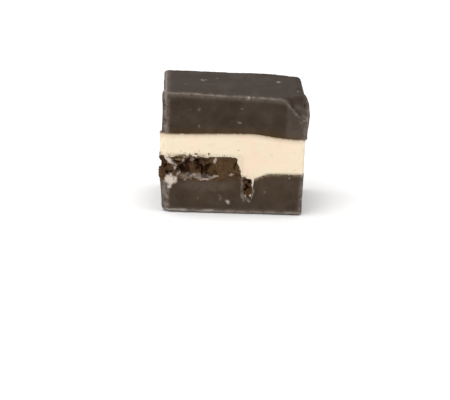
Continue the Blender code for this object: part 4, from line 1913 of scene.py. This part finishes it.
@dataclass(frozen=True)
class Lamp:
    """A soft square lamp: its place and size in metres, and its power in watts."""

    name: str
    place: tuple[float, float, float]
    size: float
    power: float


@dataclass(frozen=True)
class Studio:
    """A white floor and surround, soft light, and a camera a long way off."""

    picture: tuple[int, int] = (450, 400)
    piece_at: tuple[float, float] = (233.2, 140.8)  # where the middle of the piece comes in the picture
    millimetres_across: float = 94.2  # what the picture's width takes in, at the piece
    distance: float = 0.81
    azimuth: float = radians(-1.1)
    elevation: float = radians(10.5)
    roll: float = radians(1.7)
    sensor: float = 36.0
    seen_from: float = 0.01
    seen_to: float = 10.0
    surround_strength: float = 0.60
    floor_reach: float = 6.0
    floor_drop: float = 0.01 * MM
    floor_colour: Colour = (0.93, 0.93, 0.93)
    floor_roughness: float = 0.8
    floor_gloss: float = 0.1
    lit_height: float = 12.0 * MM  # the height that the lamps face
    lamps: tuple[Lamp, ...] = (
        Lamp("Overhead", place=(-0.2, -0.1, 1.8), size=2.5, power=31.0),
        Lamp("Key", place=(-0.35, -0.75, 0.50), size=0.5, power=2.0),
    )

    def camera(self) -> bpy.types.Object:
        """Makes the camera and points it so that the piece lies where it should in the picture.

        Returns:
            The camera.
        """
        low, high = CAD_BOX
        middle = (low + high) / 2
        back = Vector((
            sin(self.azimuth) * cos(self.elevation),
            -cos(self.azimuth) * cos(self.elevation),
            sin(self.elevation),
        ))
        data = bpy.data.cameras.new("Camera")
        data.sensor_width = self.sensor
        data.lens = self.sensor * self.distance / (self.millimetres_across * MM)
        data.clip_start = self.seen_from
        data.clip_end = self.seen_to
        camera = bpy.data.objects.new("Camera", data)
        bpy.context.scene.collection.objects.link(camera)
        bpy.context.scene.camera = camera

        per_pixel = self.millimetres_across * MM / self.picture[0]
        aside = (self.piece_at[0] - self.picture[0] / 2) * per_pixel
        above = (self.picture[1] / 2 - self.piece_at[1]) * per_pixel
        turn = (
            back.to_track_quat("Z", "Y").to_matrix()
            @ Matrix.Rotation(self.roll, 3, "Z")
            @ Matrix.Rotation(atan(aside / self.distance), 3, "Y")
            @ Matrix.Rotation(-atan(above / self.distance), 3, "X")
        )
        camera.matrix_world = Matrix.Translation(middle + back * self.distance) @ turn.to_4x4()
        return camera

    def floor(self) -> bpy.types.Object:
        """Makes the floor, whose edges are out of sight.

        Returns:
            The floor.
        """
        mesh = bpy.data.meshes.new("floor")
        plane = bmesh.new()
        bmesh.ops.create_grid(plane, x_segments=1, y_segments=1, size=self.floor_reach)
        plane.to_mesh(mesh)
        plane.free()
        made = bpy.data.objects.new("floor", mesh)
        made.location.z = -self.floor_drop
        bpy.context.scene.collection.objects.link(made)
        finish = Shader("White floor").finish(
            Base_Color=self.floor_colour, Roughness=self.floor_roughness,
            Specular_IOR_Level=self.floor_gloss,
        )
        made.data.materials.append(finish)
        return made

    def light(self, lamp: Lamp) -> bpy.types.Object:
        """Makes one lamp that faces the piece.

        Args:
            lamp: the lamp.
        Returns:
            The light.
        """
        data = bpy.data.lights.new(lamp.name, "AREA")
        data.size = lamp.size
        data.energy = lamp.power
        light = bpy.data.objects.new(lamp.name, data)
        light.location = lamp.place
        away = Vector(lamp.place) - Vector((0, 0, self.lit_height))
        light.rotation_euler = away.to_track_quat("Z", "Y").to_euler()
        bpy.context.scene.collection.objects.link(light)
        return light

    def surround(self) -> None:
        """Makes the white surround and sets how colours are shown."""
        world = bpy.data.worlds.new("White surround")
        world.use_nodes = True
        background = world.node_tree.nodes["Background"]
        background.inputs["Color"].default_value = (1.0, 1.0, 1.0, 1.0)
        background.inputs["Strength"].default_value = self.surround_strength
        scene = bpy.context.scene
        scene.world = world
        scene.view_settings.view_transform = "Standard"

    def build(self) -> None:
        """Makes the whole studio."""
        self.camera()
        self.floor()
        self.surround()
        for lamp in self.lamps:
            self.light(lamp)


# ---------------------------------------------------------------------------------------------------------
# The whole piece

LID = Lid("lid_slab", "lid", Slot.DARK, LID_SWELL, cells=(130, 130, 44))
CREAM = Cream("cream_slab", "cream", Slot.CREAM, CREAM_SWELL, cells=(130, 130, 44))
BASE = Base("base_slab", "base", Slot.DARK, BASE_SWELL, cells=(130, 130, 40))
BASE_FUDGE = DarkFudge(
    "Dark chocolate fudge of the base", body=(0.0600, 0.0405, 0.0262), deep=(0.0470, 0.0312, 0.0202),
)
CRUMB_FINISH = LooseBits(
    "Loose cookie crumbs", light=(0.20, 0.130, 0.075), dark=(0.060, 0.034, 0.018),
)
DUST = Scatter("cookie_dust", Slot.COOKIE, CRUMB_FINISH, seed=21)


def settle(piece: bpy.types.Object, finish: bpy.types.Material, slot: Slot, *nodes: str) -> None:
    """Gives a piece its finish and its body.

    Args:
        piece: the piece.
        finish: its material.
        slot: its slot in the record; not used.
        nodes: the CAD nodes that it takes the place of.
    """
    piece.data.materials.clear()
    piece.data.materials.append(finish)
    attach(piece, ROOT)
    if nodes:
        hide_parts(*nodes)
    LOG.info("%s: %d faces", piece.name, len(piece.data.polygons))


def main() -> None:
    """Builds the fudge and the studio round it."""
    logging.basicConfig(level=logging.INFO, format="%(message)s")
    Studio().build()

    pockets = [cookie.pocket() for cookie in COOKIES]
    for layer, finish, cutters in (
        (LID, DarkFudge(), []), (CREAM, CreamFudge(), pockets), (BASE, BASE_FUDGE, pockets),
    ):
        settle(layer.build(cutters), finish.material(), layer.slot, layer.node)
    for pocket in pockets:
        bpy.data.objects.remove(pocket)

    crumb = CookieCrumb().material()
    for cookie in COOKIES:
        settle(cookie.build(), crumb, Slot.COOKIE, cookie.name)
    settle(DUST.build(CookieDust().bits()), DUST.finish.material(), DUST.slot)


if __name__ == "__main__":
    main()
